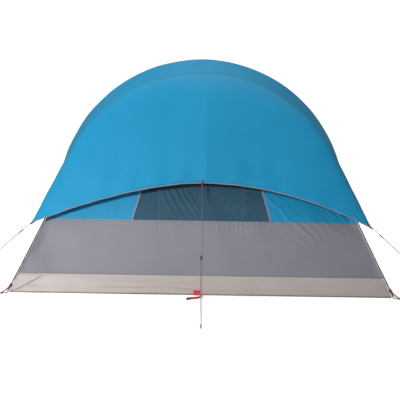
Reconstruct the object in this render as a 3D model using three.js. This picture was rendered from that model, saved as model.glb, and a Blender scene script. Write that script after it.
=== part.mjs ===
// Tunnel tent with a half-length fly: an inner tent hung inside three arched hoops, a groundsheet tub,
// a fly sheet over the hoops, five guylines with runners, and hooked pegs.
// Millimetres, +Z up.  The origin is the middle of the floor; the rear wall faces -Y and the door faces +Y.
import * as THREE from 'three';

// ---- Driving dimensions -------------------------------------------------------------------------
const HEIGHT = 2000;            // ground to the top of the fly
const FLOOR_WIDTH = 3130;       // between the feet of a hoop
const FLOOR_LENGTH = 2400;      // between the feet of the two end hoops
const END_CROWN_HEIGHT = 1780;  // ground to the top of an end hoop
const END_LEAN = degrees(24.2);  // how far each end hoop leans in from upright
const MAIN_LEG_ANGLE = degrees(75.1);
const END_LEG_ANGLE = degrees(67.9);
const POLE_RADIUS = 5.5;
const CLOTH = 3;                // thickness given to every cloth part
const POLE_TO_CLOTH = 15;       // centre of a pole to the outside of the inner tent
const POLE_TO_FLY = 20;         // centre of a pole to the outside of the fly at a crown
const TUB_HEIGHT = 150;
const BAND_HEIGHT = 570;        // top of the grey band round the inner tent
const SIDE_WALL_HEIGHT = 1150;  // where a side wall turns into the netting roof
const SEAM = 2;                 // gap left between two cloth parts that are sewn together
const DOOR_WIDTH = 900;
const DOOR_SILL_HEIGHT = 200;
const DOOR_TOP_HEIGHT = 1330;
const DOOR_GAP = 4;             // door edge to the edge of its opening
const WINDOW_BOTTOM_WIDTH = 1160;
const WINDOW_TOP_WIDTH = 840;
const CORD_RADIUS = 1.5;
const PEG_RADIUS = 2.5;
const PEG_LENGTH = 180;

// ---- Sizes that follow --------------------------------------------------------------------------
const HALF_WIDTH = FLOOR_WIDTH / 2;
const HALF_LENGTH = FLOOR_LENGTH / 2;
const MAIN_CROWN_HEIGHT = HEIGHT - POLE_TO_FLY;
const END_SLOPE = 1 / Math.cos(END_LEAN);  // distance along an end wall for each unit of height
const CORD_SPACING = 10;                   // between the two strands below a runner
const FOOT_HEIGHT = 8;                     // a pole foot stands on its webbing anchor

function degrees(angle) {
  return angle * Math.PI / 180;
}

// ---- Materials ----------------------------------------------------------------------------------
function material(name, colour, roughness, metalness = 0) {
  const made = new THREE.MeshStandardMaterial({ color: colour, roughness, metalness });
  made.name = name;
  return made;
}

const finishes = {
  flyCloth: () => material('fly_cloth_blue', 0x2a95c4, 0.55),
  wallCloth: () => material('wall_cloth_blue', 0x2f98c6, 0.6),
  bandCloth: () => material('band_cloth_grey', 0x8c8b95, 0.65),
  tubCloth: () => material('groundsheet_beige', 0xbcb4ae, 0.5),
  netting: () => material('netting_dark_teal', 0x1f3a44, 0.8),
  binding: () => material('binding_light_grey', 0xb4b8bf, 0.6),
  pole: () => material('pole_black', 0x17181a, 0.4),
  ferrule: () => material('ferrule_steel', 0xa9acb0, 0.35, 0.9),
  webbing: () => material('webbing_red', 0xc4242a, 0.7),
  cord: () => material('cord_pink_grey', 0xb89499, 0.7),
  runner: () => material('runner_black', 0x222326, 0.5),
  peg: () => material('peg_steel', 0x9a9da1, 0.4, 0.9),
  zip: () => material('zip_dark_grey', 0x3a3d42, 0.6),
};

function part(name, geometry, finish) {
  const mesh = new THREE.Mesh(geometry, finish());
  mesh.name = name;
  return mesh;
}

// ---- Hoops --------------------------------------------------------------------------------------
// A hoop lies in a plane: straight legs run tangent into one round crown.  A point of it is (across, up).
class Hoop {
  constructor(crown, legAngle) {
    const rise = Math.tan(legAngle);
    this.legAngle = legAngle;
    this.radius = (HALF_WIDTH - crown / rise)
      / (Math.sin(legAngle) - (1 - Math.cos(legAngle)) / rise);
    this.centre = crown - this.radius;
  }

  // Half the width at a height, for the hoop's outline moved outward by an offset.
  halfWidth(height, offset = 0) {
    const radius = this.radius + offset;
    const tangentHeight = this.centre + radius * Math.cos(this.legAngle);
    if (height > tangentHeight) {
      return Math.sqrt(radius ** 2 - (height - this.centre) ** 2);
    }
    return radius * Math.sin(this.legAngle) + (tangentHeight - height) / Math.tan(this.legAngle);
  }

  // Distance along the hoop from its crown down to a height on the leg or on the crown.
  lengthTo(height) {
    const tangentHeight = this.centre + this.radius * Math.cos(this.legAngle);
    if (height > tangentHeight) {
      return this.radius * Math.acos((height - this.centre) / this.radius);
    }
    return this.radius * this.legAngle + (tangentHeight - height) / Math.sin(this.legAngle);
  }

  // The point at a signed distance from the crown, moved outward by an offset.
  point(distance, offset = 0) {
    const side = Math.sign(distance) || 1;
    const angle = Math.min(Math.abs(distance) / this.radius, this.legAngle);
    const leg = Math.max(Math.abs(distance) - this.radius * this.legAngle, 0);
    const radius = this.radius + offset;
    const across = radius * Math.sin(angle) + leg * Math.cos(this.legAngle);
    const up = this.centre + radius * Math.cos(angle) - leg * Math.sin(this.legAngle);
    return new THREE.Vector2(side * across, up);
  }
}

const mainHoop = new Hoop(MAIN_CROWN_HEIGHT, MAIN_LEG_ANGLE);
const endHoop = new Hoop(END_CROWN_HEIGHT * END_SLOPE, END_LEG_ANGLE);

// A point of the upright main hoop's plane, and of the rear end hoop's leaning plane, in the tent's frame.
function onMain(point) {
  return new THREE.Vector3(point.x, 0, point.y);
}

function onRear(point) {
  return new THREE.Vector3(
    point.x,
    -HALF_LENGTH + point.y * Math.sin(END_LEAN),
    point.y * Math.cos(END_LEAN),
  );
}

function lengthAt(height) {
  return HALF_LENGTH - height * Math.tan(END_LEAN);
}

// ---- Solids -------------------------------------------------------------------------------------
// A closed skin over a grid of points that wraps round in its second direction and is capped at both ends.
function cappedSkin(rows) {
  const count = rows[0].length;
  const positions = rows.flat().flatMap((p) => [p.x, p.y, p.z]);
  const index = [];
  for (let i = 0; i + 1 < rows.length; i += 1) {
    for (let j = 0; j < count; j += 1) {
      const next = (j + 1) % count;
      const a = i * count + j;
      const b = i * count + next;
      index.push(a, b, b + count, a, b + count, a + count);
    }
  }
  return { positions, index, count, last: (rows.length - 1) * count };
}

// Turns a closed skin outward if its enclosed volume comes out negative.
function outwardFacing(positions, index) {
  let volume = 0;
  const corner = (i) => new THREE.Vector3().fromArray(positions, 3 * i);
  for (let i = 0; i < index.length; i += 3) {
    volume += corner(index[i]).dot(corner(index[i + 1]).cross(corner(index[i + 2])));
  }
  return volume > 0 ? index : [...index].reverse();
}

function geometryFrom(positions, index) {
  const geometry = new THREE.BufferGeometry();
  geometry.setAttribute('position', new THREE.Float32BufferAttribute(positions, 3));
  geometry.setIndex(outwardFacing(positions, index));
  geometry.computeVertexNormals();
  return geometry;
}

// A sheet of cloth: pointAt(u, v) is its outer face, u and v from 0 to 1, seen from outside with u to the
// right and v upward.  The inner face lies one thickness behind it.
function sheet(pointAt, acrossSteps, upSteps, thickness = CLOTH) {
  const outer = [];
  const inner = [];
  const step = 1e-3;
  for (let j = 0; j <= upSteps; j += 1) {
    for (let i = 0; i <= acrossSteps; i += 1) {
      const u = i / acrossSteps;
      const v = j / upSteps;
      const p = pointAt(u, v);
      const alongU = pointAt(Math.min(u + step, 1), v).sub(pointAt(Math.max(u - step, 0), v));
      const alongV = pointAt(u, Math.min(v + step, 1)).sub(pointAt(u, Math.max(v - step, 0)));
      const normal = alongU.cross(alongV).normalize();
      outer.push(p);
      inner.push(p.clone().addScaledVector(normal, -thickness));
    }
  }
  const width = acrossSteps + 1;
  const back = outer.length;
  const index = [];
  for (let j = 0; j < upSteps; j += 1) {
    for (let i = 0; i < acrossSteps; i += 1) {
      const a = j * width + i;
      const quad = [a, a + 1, a + width + 1, a + width];
      index.push(quad[0], quad[1], quad[2], quad[0], quad[2], quad[3]);
      index.push(back + quad[0], back + quad[2], back + quad[1]);
      index.push(back + quad[0], back + quad[3], back + quad[2]);
    }
  }
  const rim = [];
  for (let i = 0; i < acrossSteps; i += 1) rim.push(i);
  for (let j = 0; j < upSteps; j += 1) rim.push(j * width + acrossSteps);
  for (let i = acrossSteps; i > 0; i -= 1) rim.push(upSteps * width + i);
  for (let j = upSteps; j > 0; j -= 1) rim.push(j * width);
  rim.forEach((a, k) => {
    const b = rim[(k + 1) % rim.length];
    index.push(a, back + a, back + b, a, back + b, b);
  });
  const positions = [...outer, ...inner].flatMap((p) => [p.x, p.y, p.z]);
  return geometryFrom(positions, index);
}

function round(radius) {
  return new THREE.Shape().absarc(0, 0, radius, 0, 2 * Math.PI, false);
}

// A round bar or a sleeve along a curve.
function bar(curve, radius, steps, bore = 0) {
  const shape = round(radius);
  if (bore > 0) {
    shape.holes.push(new THREE.Path().absarc(0, 0, bore, 0, 2 * Math.PI, true));
  }
  return new THREE.ExtrudeGeometry(shape, { steps, curveSegments: 10, extrudePath: curve });
}

class HoopCurve extends THREE.Curve {
  constructor(hoop, place, from, to) {
    super();
    this.position = (t) => place(hoop.point(from + (to - from) * t));
  }

  getPoint(t) {
    return this.position(t);
  }
}

// ---- Pole hoops ---------------------------------------------------------------------------------
// Two straight legs and a round crown, joined by steel ferrules a little way down each leg.
function poleHoop(name, hoop, place) {
  const group = new THREE.Group();
  group.name = `${name}_hoop`;
  const footHeight = FOOT_HEIGHT * (hoop === endHoop ? END_SLOPE : 1);
  const foot = hoop.lengthTo(footHeight);
  const joinAt = hoop.radius * hoop.legAngle + 140;
  const halfFerrule = 45;
  const crown = new HoopCurve(hoop, place, -joinAt, joinAt);
  group.add(part(`${name}_hoop_crown`, bar(crown, POLE_RADIUS, 40), finishes.pole));
  for (const [label, side] of [['left', -1], ['right', 1]]) {
    const leg = new HoopCurve(hoop, place, side * (joinAt + 0.4), side * foot);
    group.add(part(`${name}_hoop_${label}_leg`, bar(leg, POLE_RADIUS, 1), finishes.pole));
    const sleeve = new HoopCurve(
      hoop, place, side * (joinAt - halfFerrule), side * (joinAt + halfFerrule));
    const ferrule = bar(sleeve, POLE_RADIUS + 1.9, 1, POLE_RADIUS + 0.6);
    group.add(part(`${name}_hoop_${label}_ferrule`, ferrule, finishes.ferrule));
  }
  return group;
}

// ---- Groundsheet tub ----------------------------------------------------------------------------
// The floor's outline at a height: six corners, anticlockwise from above, drawn in by an inset.
function outline(height, inset) {
  const endWidth = endHoop.halfWidth(height * END_SLOPE) - inset;
  const mainWidth = mainHoop.halfWidth(height) - inset;
  const length = lengthAt(height) - inset;
  return [
    [-endWidth, -length], [endWidth, -length], [mainWidth, 0],
    [endWidth, length], [-endWidth, length], [-mainWidth, 0],
  ].map(([x, y]) => [x, y, height]);
}

function groundsheetTub() {
  const outerInset = POLE_TO_CLOTH;
  const innerInset = POLE_TO_CLOTH + CLOTH;
  const rings = [
    outline(0, outerInset),
    outline(TUB_HEIGHT, outerInset),
    outline(TUB_HEIGHT, innerInset),
    outline(CLOTH, innerInset),
  ];
  const skin = cappedSkin(rings.map((ring) => ring.map((p) => new THREE.Vector3(...p))));
  for (let j = 1; j + 1 < skin.count; j += 1) {
    skin.index.push(0, j + 1, j);
    skin.index.push(skin.last, skin.last + j, skin.last + j + 1);
  }
  return part('groundsheet_tub', geometryFrom(skin.positions, skin.index), finishes.tubCloth);
}

// ---- Side walls and roof ------------------------------------------------------------------------
// A side wall is two flat runs of cloth, from each end hoop to the main hoop.
function sideWallPoint(side, along, height) {
  const fromMain = Math.abs(along);
  const endWidth = endHoop.halfWidth(height * END_SLOPE);
  const mainWidth = mainHoop.halfWidth(height);
  const x = mainWidth + (endWidth - mainWidth) * fromMain - POLE_TO_CLOTH;
  return new THREE.Vector3(side * x, along * (lengthAt(height) - POLE_TO_CLOTH - 8), height);
}

function sideWall(side, bottom, top, rows) {
  return sheet((u, v) => {
    const along = side * (2 * u - 1);
    return sideWallPoint(side, along, bottom + (top - bottom) * v);
  }, 2, rows);
}

function sideWalls() {
  const group = new THREE.Group();
  group.name = 'side_walls';
  for (const [label, side] of [['left', -1], ['right', 1]]) {
    const band = sideWall(side, TUB_HEIGHT + SEAM, BAND_HEIGHT, 2);
    const upper = sideWall(side, BAND_HEIGHT + SEAM, SIDE_WALL_HEIGHT, 6);
    group.add(part(`${label}_wall_lower_band`, band, finishes.bandCloth));
    group.add(part(`${label}_wall_upper_panel`, upper, finishes.wallCloth));
  }
  return group;
}

function roofNetting() {
  const start = SIDE_WALL_HEIGHT + 3 * SEAM;
  const endReach = endHoop.lengthTo(start * END_SLOPE);
  const mainReach = mainHoop.lengthTo(start);
  const geometry = sheet((u, v) => {
    const across = 2 * u - 1;
    const along = 2 * v - 1;
    const end = onRear(endHoop.point(across * endReach, -POLE_TO_CLOTH));
    const middle = onMain(mainHoop.point(across * mainReach, -POLE_TO_CLOTH));
    end.y += 2 * POLE_TO_CLOTH;
    const p = middle.lerp(end, Math.abs(along));
    p.y *= -Math.sign(along);
    return p;
  }, 24, 2);
  return part('roof_netting', geometry, finishes.netting);
}

// ---- End walls ----------------------------------------------------------------------------------
// An end wall is flat.  It is drawn in its own plane: x across, y up the slope from the ground.
function wallGroup(name) {
  const group = new THREE.Group();
  group.name = name;
  group.position.y = -(HALF_LENGTH - POLE_TO_CLOTH);
  group.rotation.x = Math.PI / 2 - END_LEAN;
  return group;
}

function flat(shape, thickness = CLOTH, lift = 0) {
  const geometry = new THREE.ExtrudeGeometry(
    shape, { depth: thickness, bevelEnabled: false, curveSegments: 24 });
  geometry.translate(0, 0, lift - thickness);
  return geometry;
}

function wallEdge(slope) {
  return endHoop.halfWidth(slope, -POLE_TO_CLOTH) - 3;
}

// The strip of wall between two heights, with an opening notched into its top edge if one is given.
function bandShape(bottom, top, notch) {
  const low = bottom * END_SLOPE;
  const high = top * END_SLOPE;
  const shape = new THREE.Shape();
  shape.moveTo(-wallEdge(low), low);
  shape.lineTo(wallEdge(low), low);
  shape.lineTo(wallEdge(high), high);
  if (notch) {
    shape.lineTo(notch.halfWidth, high);
    shape.lineTo(notch.halfWidth, notch.sill);
    shape.lineTo(-notch.halfWidth, notch.sill);
    shape.lineTo(-notch.halfWidth, high);
  }
  shape.lineTo(-wallEdge(high), high);
  return shape;
}

// The wall above the band, under the hoop's round crown.  cutOpening draws the bottom edge, from right
// to left.
function upperShape(cutOpening) {
  const low = (BAND_HEIGHT + SEAM) * END_SLOPE;
  const radius = endHoop.radius - POLE_TO_CLOTH - 3;
  const shape = new THREE.Shape();
  const start = Math.PI / 2 - END_LEG_ANGLE;
  shape.moveTo(wallEdge(low), low);
  shape.absarc(0, endHoop.centre, radius, start, Math.PI - start, false);
  shape.lineTo(-wallEdge(low), low);
  cutOpening(shape, low);
  return shape;
}

const door = {
  halfWidth: DOOR_WIDTH / 2,
  sill: DOOR_SILL_HEIGHT * END_SLOPE,
  archCentre: DOOR_TOP_HEIGHT * END_SLOPE - DOOR_WIDTH / 2,
};

// Draws an upside-down U from its left foot to its right foot.
function archOver(path, halfWidth, foot) {
  path.lineTo(-halfWidth, foot);
  path.lineTo(-halfWidth, door.archCentre);
  path.absarc(0, door.archCentre, halfWidth, Math.PI, 0, true);
  path.lineTo(halfWidth, foot);
}

function rearWall() {
  const wall = wallGroup('rear_wall');
  const band = bandShape(TUB_HEIGHT + SEAM, BAND_HEIGHT);
  wall.add(part('rear_wall_lower_band', flat(band), finishes.bandCloth));

  const windowTop = SIDE_WALL_HEIGHT * END_SLOPE;
  const windowShape = (low, gap) => {
    const shape = new THREE.Shape();
    shape.moveTo(-WINDOW_BOTTOM_WIDTH / 2 + gap, low);
    shape.lineTo(WINDOW_BOTTOM_WIDTH / 2 - gap, low);
    shape.lineTo(WINDOW_TOP_WIDTH / 2 - gap, windowTop - gap);
    shape.lineTo(-WINDOW_TOP_WIDTH / 2 + gap, windowTop - gap);
    return shape;
  };
  const upper = upperShape((shape, low) => {
    shape.lineTo(-WINDOW_BOTTOM_WIDTH / 2, low);
    shape.lineTo(-WINDOW_TOP_WIDTH / 2, windowTop);
    shape.lineTo(WINDOW_TOP_WIDTH / 2, windowTop);
    shape.lineTo(WINDOW_BOTTOM_WIDTH / 2, low);
  });
  wall.add(part('rear_wall_upper_panel', flat(upper), finishes.wallCloth));
  const netting = windowShape((BAND_HEIGHT + SEAM) * END_SLOPE, SEAM);
  wall.add(part('rear_window_netting', flat(netting), finishes.netting));
  return wall;
}

// A zip slider: a rounded body with its pull tab hanging below it.
function zipSlider(name) {
  const shape = new THREE.Shape();
  shape.moveTo(-5, -6);
  shape.lineTo(-2.5, -8);
  shape.lineTo(-2.5, -30);
  shape.absarc(0, -30, 2.5, Math.PI, 2 * Math.PI, false);
  shape.lineTo(2.5, -8);
  shape.lineTo(5, -6);
  shape.lineTo(5, 4);
  shape.absarc(0, 4, 5, 0, Math.PI, false);
  const geometry = new THREE.ExtrudeGeometry(shape, { depth: 4, bevelEnabled: false, curveSegments: 8 });
  return part(name, geometry, finishes.zip);
}

function frontWall() {
  const turned = new THREE.Group();
  turned.name = 'front_end';
  turned.rotation.z = Math.PI;
  const wall = wallGroup('front_wall');
  turned.add(wall);

  const openingHalf = door.halfWidth + DOOR_GAP;
  const band = bandShape(TUB_HEIGHT + SEAM, BAND_HEIGHT, { halfWidth: openingHalf, sill: door.sill });
  wall.add(part('front_wall_lower_band', flat(band), finishes.bandCloth));
  const upper = upperShape((shape, low) => archOver(shape, openingHalf, low));
  wall.add(part('front_wall_upper_panel', flat(upper), finishes.wallCloth));

  const leaf = new THREE.Shape();
  leaf.moveTo(door.halfWidth, door.sill + DOOR_GAP);
  archOver(leaf, door.halfWidth, door.sill + DOOR_GAP);
  wall.add(part('door_flap', flat(leaf), finishes.wallCloth));

  const zipInner = openingHalf + 1;
  const zipOuter = zipInner + 14;
  const track = new THREE.Shape();
  track.moveTo(zipInner, door.sill);
  track.lineTo(zipOuter, door.sill);
  track.lineTo(zipOuter, door.archCentre);
  track.absarc(0, door.archCentre, zipOuter, 0, Math.PI, false);
  track.lineTo(-zipOuter, door.sill);
  track.lineTo(-zipInner, door.sill);
  track.lineTo(-zipInner, door.archCentre);
  track.absarc(0, door.archCentre, zipInner, Math.PI, 0, true);
  const trackLift = 0.4;
  const trackThickness = 2;
  wall.add(part('door_zip_track', flat(track, trackThickness, trackLift + trackThickness), finishes.zip));

  const sliderLift = trackLift + trackThickness + 0.4;
  const sliderAt = (zipInner + zipOuter) / 2;
  const upperSlider = zipSlider('door_zip_slider_upper');
  upperSlider.position.set(-sliderAt, door.archCentre, sliderLift);
  upperSlider.rotation.z = Math.PI;
  wall.add(upperSlider);
  const lowerSlider = zipSlider('door_zip_slider_lower');
  lowerSlider.position.set(-sliderAt, door.archCentre - 24, sliderLift);
  wall.add(lowerSlider);
  return turned;
}

// ---- Fly ----------------------------------------------------------------------------------------
// The fly hangs over the three hoops and is drawn out to four guyed corners.  Its rear hem arches up a
// little and its front hem arches high over the door.
const FLY_CORNER = new THREE.Vector3(1410, -1000, 545);
const FLY_SIDE_HEM_HEIGHT = 600;
const REAR_HEM = { y: -870, z: 890, bow: 1.85 };
const FRONT_HEM = { y: 630, z: 1450, bow: 1.85 };

function hemPoint(hem, across, end) {
  const fall = Math.abs(across) ** hem.bow;
  const y = Math.abs(hem.y) + (Math.abs(FLY_CORNER.y) - Math.abs(hem.y)) * fall;
  return new THREE.Vector3(FLY_CORNER.x * across, end * y, hem.z + (FLY_CORNER.z - hem.z) * fall);
}

// The fly over an end hoop stands off further and further down the legs, where the guylines draw it out.
function flyOverEnd(across, end) {
  const reach = endHoop.lengthTo((FLY_CORNER.z - 12) * END_SLOPE);
  const standOff = POLE_TO_FLY + 68 * Math.abs(across) ** 1.7;
  const p = onRear(endHoop.point(across * reach, standOff));
  const proud = POLE_TO_FLY * (1 - across ** 4);
  p.y -= proud * Math.cos(END_LEAN);
  p.z += proud * Math.sin(END_LEAN);
  p.y *= -end;
  return p;
}

// Between two hoops the cloth is drawn straight, and it bends only where it lies over a hoop.
function drawnTaut(from, to) {
  return [0.15, 0.5, 0.85].map((share) => from.clone().lerp(to, share));
}

function flyPoint(u, v) {
  const across = 2 * u - 1;
  const sideReach = mainHoop.lengthTo(FLY_SIDE_HEM_HEIGHT);
  const overRear = flyOverEnd(across, -1);
  const overMain = onMain(mainHoop.point(across * sideReach, POLE_TO_FLY));
  const overFront = flyOverEnd(across, 1);
  const stations = [
    hemPoint(REAR_HEM, across, -1),
    overRear,
    ...drawnTaut(overRear, overMain),
    overMain,
    ...drawnTaut(overMain, overFront),
    overFront,
    hemPoint(FRONT_HEM, across, 1),
  ];
  return new THREE.CatmullRomCurve3(stations, false, 'centripetal').getPoint(v);
}

const FLY_STEPS = { across: 36, along: 40 };

function flySheet() {
  return part('fly_sheet', sheet(flyPoint, FLY_STEPS.across, FLY_STEPS.along), finishes.flyCloth);
}

// The binding is a flat tape folded round the hem all the way round the fly.
function flyHemBinding() {
  const gap = 1;
  const tapeWidth = 14;
  const tapeThickness = 5;
  const step = 1e-3;
  const rows = [];
  const edges = [
    { steps: FLY_STEPS.across, at: (t) => [t, 0] },
    { steps: FLY_STEPS.along, at: (t) => [1, t] },
    { steps: FLY_STEPS.across, at: (t) => [1 - t, 1] },
    { steps: FLY_STEPS.along, at: (t) => [0, 1 - t] },
  ];
  const outward = (u, v) => {
    const here = flyPoint(u, v);
    const inU = flyPoint(Math.abs(u - step), v).sub(here).normalize();
    const inV = flyPoint(u, Math.abs(v - step)).sub(here).normalize();
    const direction = new THREE.Vector3();
    if (u === 0 || u === 1) direction.sub(inU);
    if (v === 0 || v === 1) direction.sub(inV);
    return direction.normalize();
  };
  const faceNormal = (u, v) => {
    const alongU = flyPoint(Math.min(u + step, 1), v).sub(flyPoint(Math.max(u - step, 0), v));
    const alongV = flyPoint(u, Math.min(v + step, 1)).sub(flyPoint(u, Math.max(v - step, 0)));
    return alongU.cross(alongV).normalize();
  };
  for (const edge of edges) {
    for (let i = 0; i < edge.steps; i += 1) {
      const [u, v] = edge.at(i / edge.steps);
      const here = flyPoint(u, v);
      const out = outward(u, v);
      const normal = faceNormal(u, v);
      const at = (reach, height) => here.clone()
        .addScaledVector(out, reach)
        .addScaledVector(normal, height);
      const low = -(tapeThickness + CLOTH) / 2;
      const high = low + tapeThickness;
      rows.push([
        at(gap, high), at(gap, low), at(gap + tapeWidth, low), at(gap + tapeWidth, high),
      ]);
    }
  }
  const skin = cappedSkin([...rows, rows[0]]);
  const wrapped = skin.index.map((i) => i % (rows.length * 4));
  return part('fly_hem_binding', geometryFrom(skin.positions.slice(0, rows.length * 12), wrapped),
    finishes.binding);
}

// ---- Guylines -----------------------------------------------------------------------------------
// One cord runs from the fly down to the peg, round its shaft and back up to the runner.
function guyline(label, top, pegFoot, runnerAt) {
  const group = new THREE.Group();
  group.name = `guyline_set_${label}`;
  const down = pegFoot.clone().sub(top).normalize();
  const aside = new THREE.Vector3(-down.y, down.x, 0).normalize();
  const length = pegFoot.distanceTo(top);
  const at = (distance, offset) => top.clone().addScaledVector(down, distance)
    .addScaledVector(aside, offset);
  const half = CORD_SPACING / 2;
  const runnerLength = 42;
  const runnerMiddle = runnerAt * length;

  const cord = new THREE.CurvePath();
  cord.add(new THREE.LineCurve3(at(0, half), at(length, half)));
  const bend = [0, 0.25, 0.5, 0.75, 1].map((t) => {
    const angle = t * Math.PI;
    return at(length + half * Math.sin(angle), half * Math.cos(angle));
  });
  for (let i = 0; i + 1 < bend.length; i += 1) cord.add(new THREE.LineCurve3(bend[i], bend[i + 1]));
  cord.add(new THREE.LineCurve3(at(length, -half), at(runnerMiddle - runnerLength / 2 - 6, -half)));
  group.add(part(`guyline_${label}`, sweepThrough(cord, CORD_RADIUS), finishes.cord));

  const shape = new THREE.Shape();
  const halfBody = 8.5;
  const halfDepth = 3.5;
  shape.moveTo(-halfBody + halfDepth, -halfDepth);
  shape.lineTo(halfBody - halfDepth, -halfDepth);
  shape.absarc(halfBody - halfDepth, 0, halfDepth, -Math.PI / 2, Math.PI / 2, false);
  shape.lineTo(-halfBody + halfDepth, halfDepth);
  shape.absarc(-halfBody + halfDepth, 0, halfDepth, Math.PI / 2, 1.5 * Math.PI, false);
  for (const offset of [-half, half]) {
    shape.holes.push(new THREE.Path().absarc(offset, 0, CORD_RADIUS + 0.6, 0, 2 * Math.PI, true));
  }
  const body = new THREE.ExtrudeGeometry(
    shape, { depth: runnerLength, bevelEnabled: false, curveSegments: 6 });
  body.translate(0, 0, -runnerLength / 2);
  const runner = part(`runner_${label}`, body, finishes.runner);
  const depth = new THREE.Vector3().crossVectors(down, aside);
  runner.quaternion.setFromRotationMatrix(new THREE.Matrix4().makeBasis(aside, depth, down));
  runner.position.copy(at(runnerMiddle, 0));
  group.add(runner);

  const lean = degrees(25);
  const away = new THREE.Vector3(down.x, down.y, 0).normalize();
  const axis = away.multiplyScalar(Math.sin(lean)).add(new THREE.Vector3(0, 0, Math.cos(lean)));
  group.add(peg(`guyline_peg_${label}`, at(length, 0), axis, 22));
  return group;
}

// A round cord through the corner points of a path made of straight runs.
function sweepThrough(path, radius) {
  const points = [path.curves[0].v1, ...path.curves.map((run) => run.v2)];
  const sides = 6;
  const first = points[1].clone().sub(points[0]).normalize();
  const bendNormal = new THREE.Vector3();
  for (let i = 1; i + 1 < points.length; i += 1) {
    const before = points[i].clone().sub(points[i - 1]).normalize();
    const after = points[i + 1].clone().sub(points[i]).normalize();
    bendNormal.add(before.cross(after));
  }
  if (bendNormal.lengthSq() < 1e-9) bendNormal.set(first.y, -first.x, 0);
  bendNormal.normalize();
  const rows = points.map((p, i) => {
    const before = points[Math.max(i - 1, 0)];
    const after = points[Math.min(i + 1, points.length - 1)];
    const into = p.clone().sub(before).normalize();
    const out = after.clone().sub(p).normalize();
    const along = into.add(out).normalize();
    const across = new THREE.Vector3().crossVectors(bendNormal, along).normalize();
    const row = [];
    for (let k = 0; k < sides; k += 1) {
      const angle = 2 * Math.PI * k / sides;
      row.push(p.clone()
        .addScaledVector(across, radius * Math.cos(angle))
        .addScaledVector(bendNormal, radius * Math.sin(angle)));
    }
    return row;
  });
  const skin = cappedSkin(rows);
  for (let k = 1; k + 1 < sides; k += 1) {
    skin.index.push(0, k + 1, k);
    skin.index.push(skin.last, skin.last + k, skin.last + k + 1);
  }
  return geometryFrom(skin.positions, skin.index);
}

// ---- Pegs ---------------------------------------------------------------------------------------
// A hooked wire peg: through is the point of its shaft where the cord or loop goes round it, axis points up
// its shaft, and headRoom is how far the hook's bend stands above that point.
function peg(name, through, axis, headRoom) {
  const hookRadius = 7;
  const points = [new THREE.Vector3(0, 0, headRoom - PEG_LENGTH)];
  const bends = 6;
  for (let i = 0; i <= bends; i += 1) {
    const angle = Math.PI * i / bends;
    points.push(new THREE.Vector3(
      hookRadius - hookRadius * Math.cos(angle), 0, headRoom + hookRadius * Math.sin(angle)));
  }
  points.push(new THREE.Vector3(2 * hookRadius, 0, headRoom - 8));
  const path = new THREE.CurvePath();
  for (let i = 0; i + 1 < points.length; i += 1) {
    path.add(new THREE.LineCurve3(points[i], points[i + 1]));
  }
  const made = part(name, sweepThrough(path, PEG_RADIUS), finishes.peg);
  const level = new THREE.Vector3(axis.x, axis.y, 0);
  if (level.lengthSq() < 1e-9) level.set(Math.sign(through.x), 0, 0);
  const sideways = new THREE.Vector3().crossVectors(axis, level).normalize();
  const forward = new THREE.Vector3().crossVectors(sideways, axis);
  made.quaternion.setFromRotationMatrix(new THREE.Matrix4().makeBasis(forward, sideways, axis));
  made.position.copy(through);
  return made;
}

// ---- Webbing ------------------------------------------------------------------------------------
// A flat strap on the ground that a pole foot stands on, with an eyelet for a peg at its outer end.
const ANCHOR = { start: -8, end: 96, halfWidth: 15, eyelet: 70, eyeletRadius: 7 };

function anchorStrap(name, x, y) {
  const shape = new THREE.Shape();
  const { start, end, halfWidth } = ANCHOR;
  shape.moveTo(start, -halfWidth);
  shape.lineTo(end - halfWidth, -halfWidth);
  shape.absarc(end - halfWidth, 0, halfWidth, -Math.PI / 2, Math.PI / 2, false);
  shape.lineTo(start, halfWidth);
  shape.holes.push(new THREE.Path().absarc(ANCHOR.eyelet, 0, ANCHOR.eyeletRadius, 0, 2 * Math.PI, true));
  const geometry = new THREE.ExtrudeGeometry(shape, { depth: 3, bevelEnabled: false, curveSegments: 8 });
  const strap = part(name, geometry, finishes.webbing);
  strap.position.set(x, y, 1);
  strap.rotation.z = Math.atan2(y, x);
  if (y !== 0) strap.rotation.z = Math.atan2(Math.sign(y), Math.sign(x));
  return strap;
}

function webbingAndPegs() {
  const group = new THREE.Group();
  group.name = 'anchors';
  for (const [end, y] of [['rear', -HALF_LENGTH], ['front', HALF_LENGTH]]) {
    for (const [label, x] of [['left', -HALF_WIDTH], ['right', HALF_WIDTH]]) {
      group.add(anchorStrap(`${end}_${label}_anchor_strap`, x, y));
      const reach = ANCHOR.eyelet * Math.SQRT1_2;
      const through = new THREE.Vector3(x + Math.sign(x) * reach, y + Math.sign(y) * reach, 3);
      group.add(peg(`${end}_${label}_corner_peg`, through, new THREE.Vector3(0, 0, 1), 14));
    }
  }
  group.add(anchorStrap('left_middle_anchor_strap', -HALF_WIDTH, 0));
  group.add(anchorStrap('right_middle_anchor_strap', HALF_WIDTH, 0));

  const loop = new THREE.Shape();
  loop.moveTo(-12, -70);
  loop.lineTo(12, -70);
  loop.lineTo(12, 0);
  loop.lineTo(-12, 0);
  const eye = new THREE.Path();
  eye.moveTo(-6, -62);
  eye.lineTo(-6, -30);
  eye.lineTo(6, -30);
  eye.lineTo(6, -62);
  loop.holes.push(eye);
  const groundLoop = new THREE.ExtrudeGeometry(loop, { depth: 3, bevelEnabled: false });
  const placed = part('rear_centre_ground_loop', groundLoop, finishes.webbing);
  placed.position.set(-25, -(HALF_LENGTH - POLE_TO_CLOTH) - 1, 1);
  group.add(placed);
  return group;
}

// The red tab sewn to the middle of the rear hem, lying along the guyline it holds.
const REAR_GUY_TOP = new THREE.Vector3(0, REAR_HEM.y - 30, REAR_HEM.z - 60);
const REAR_GUY_PEG = new THREE.Vector3(0, -2250, 12);

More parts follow.
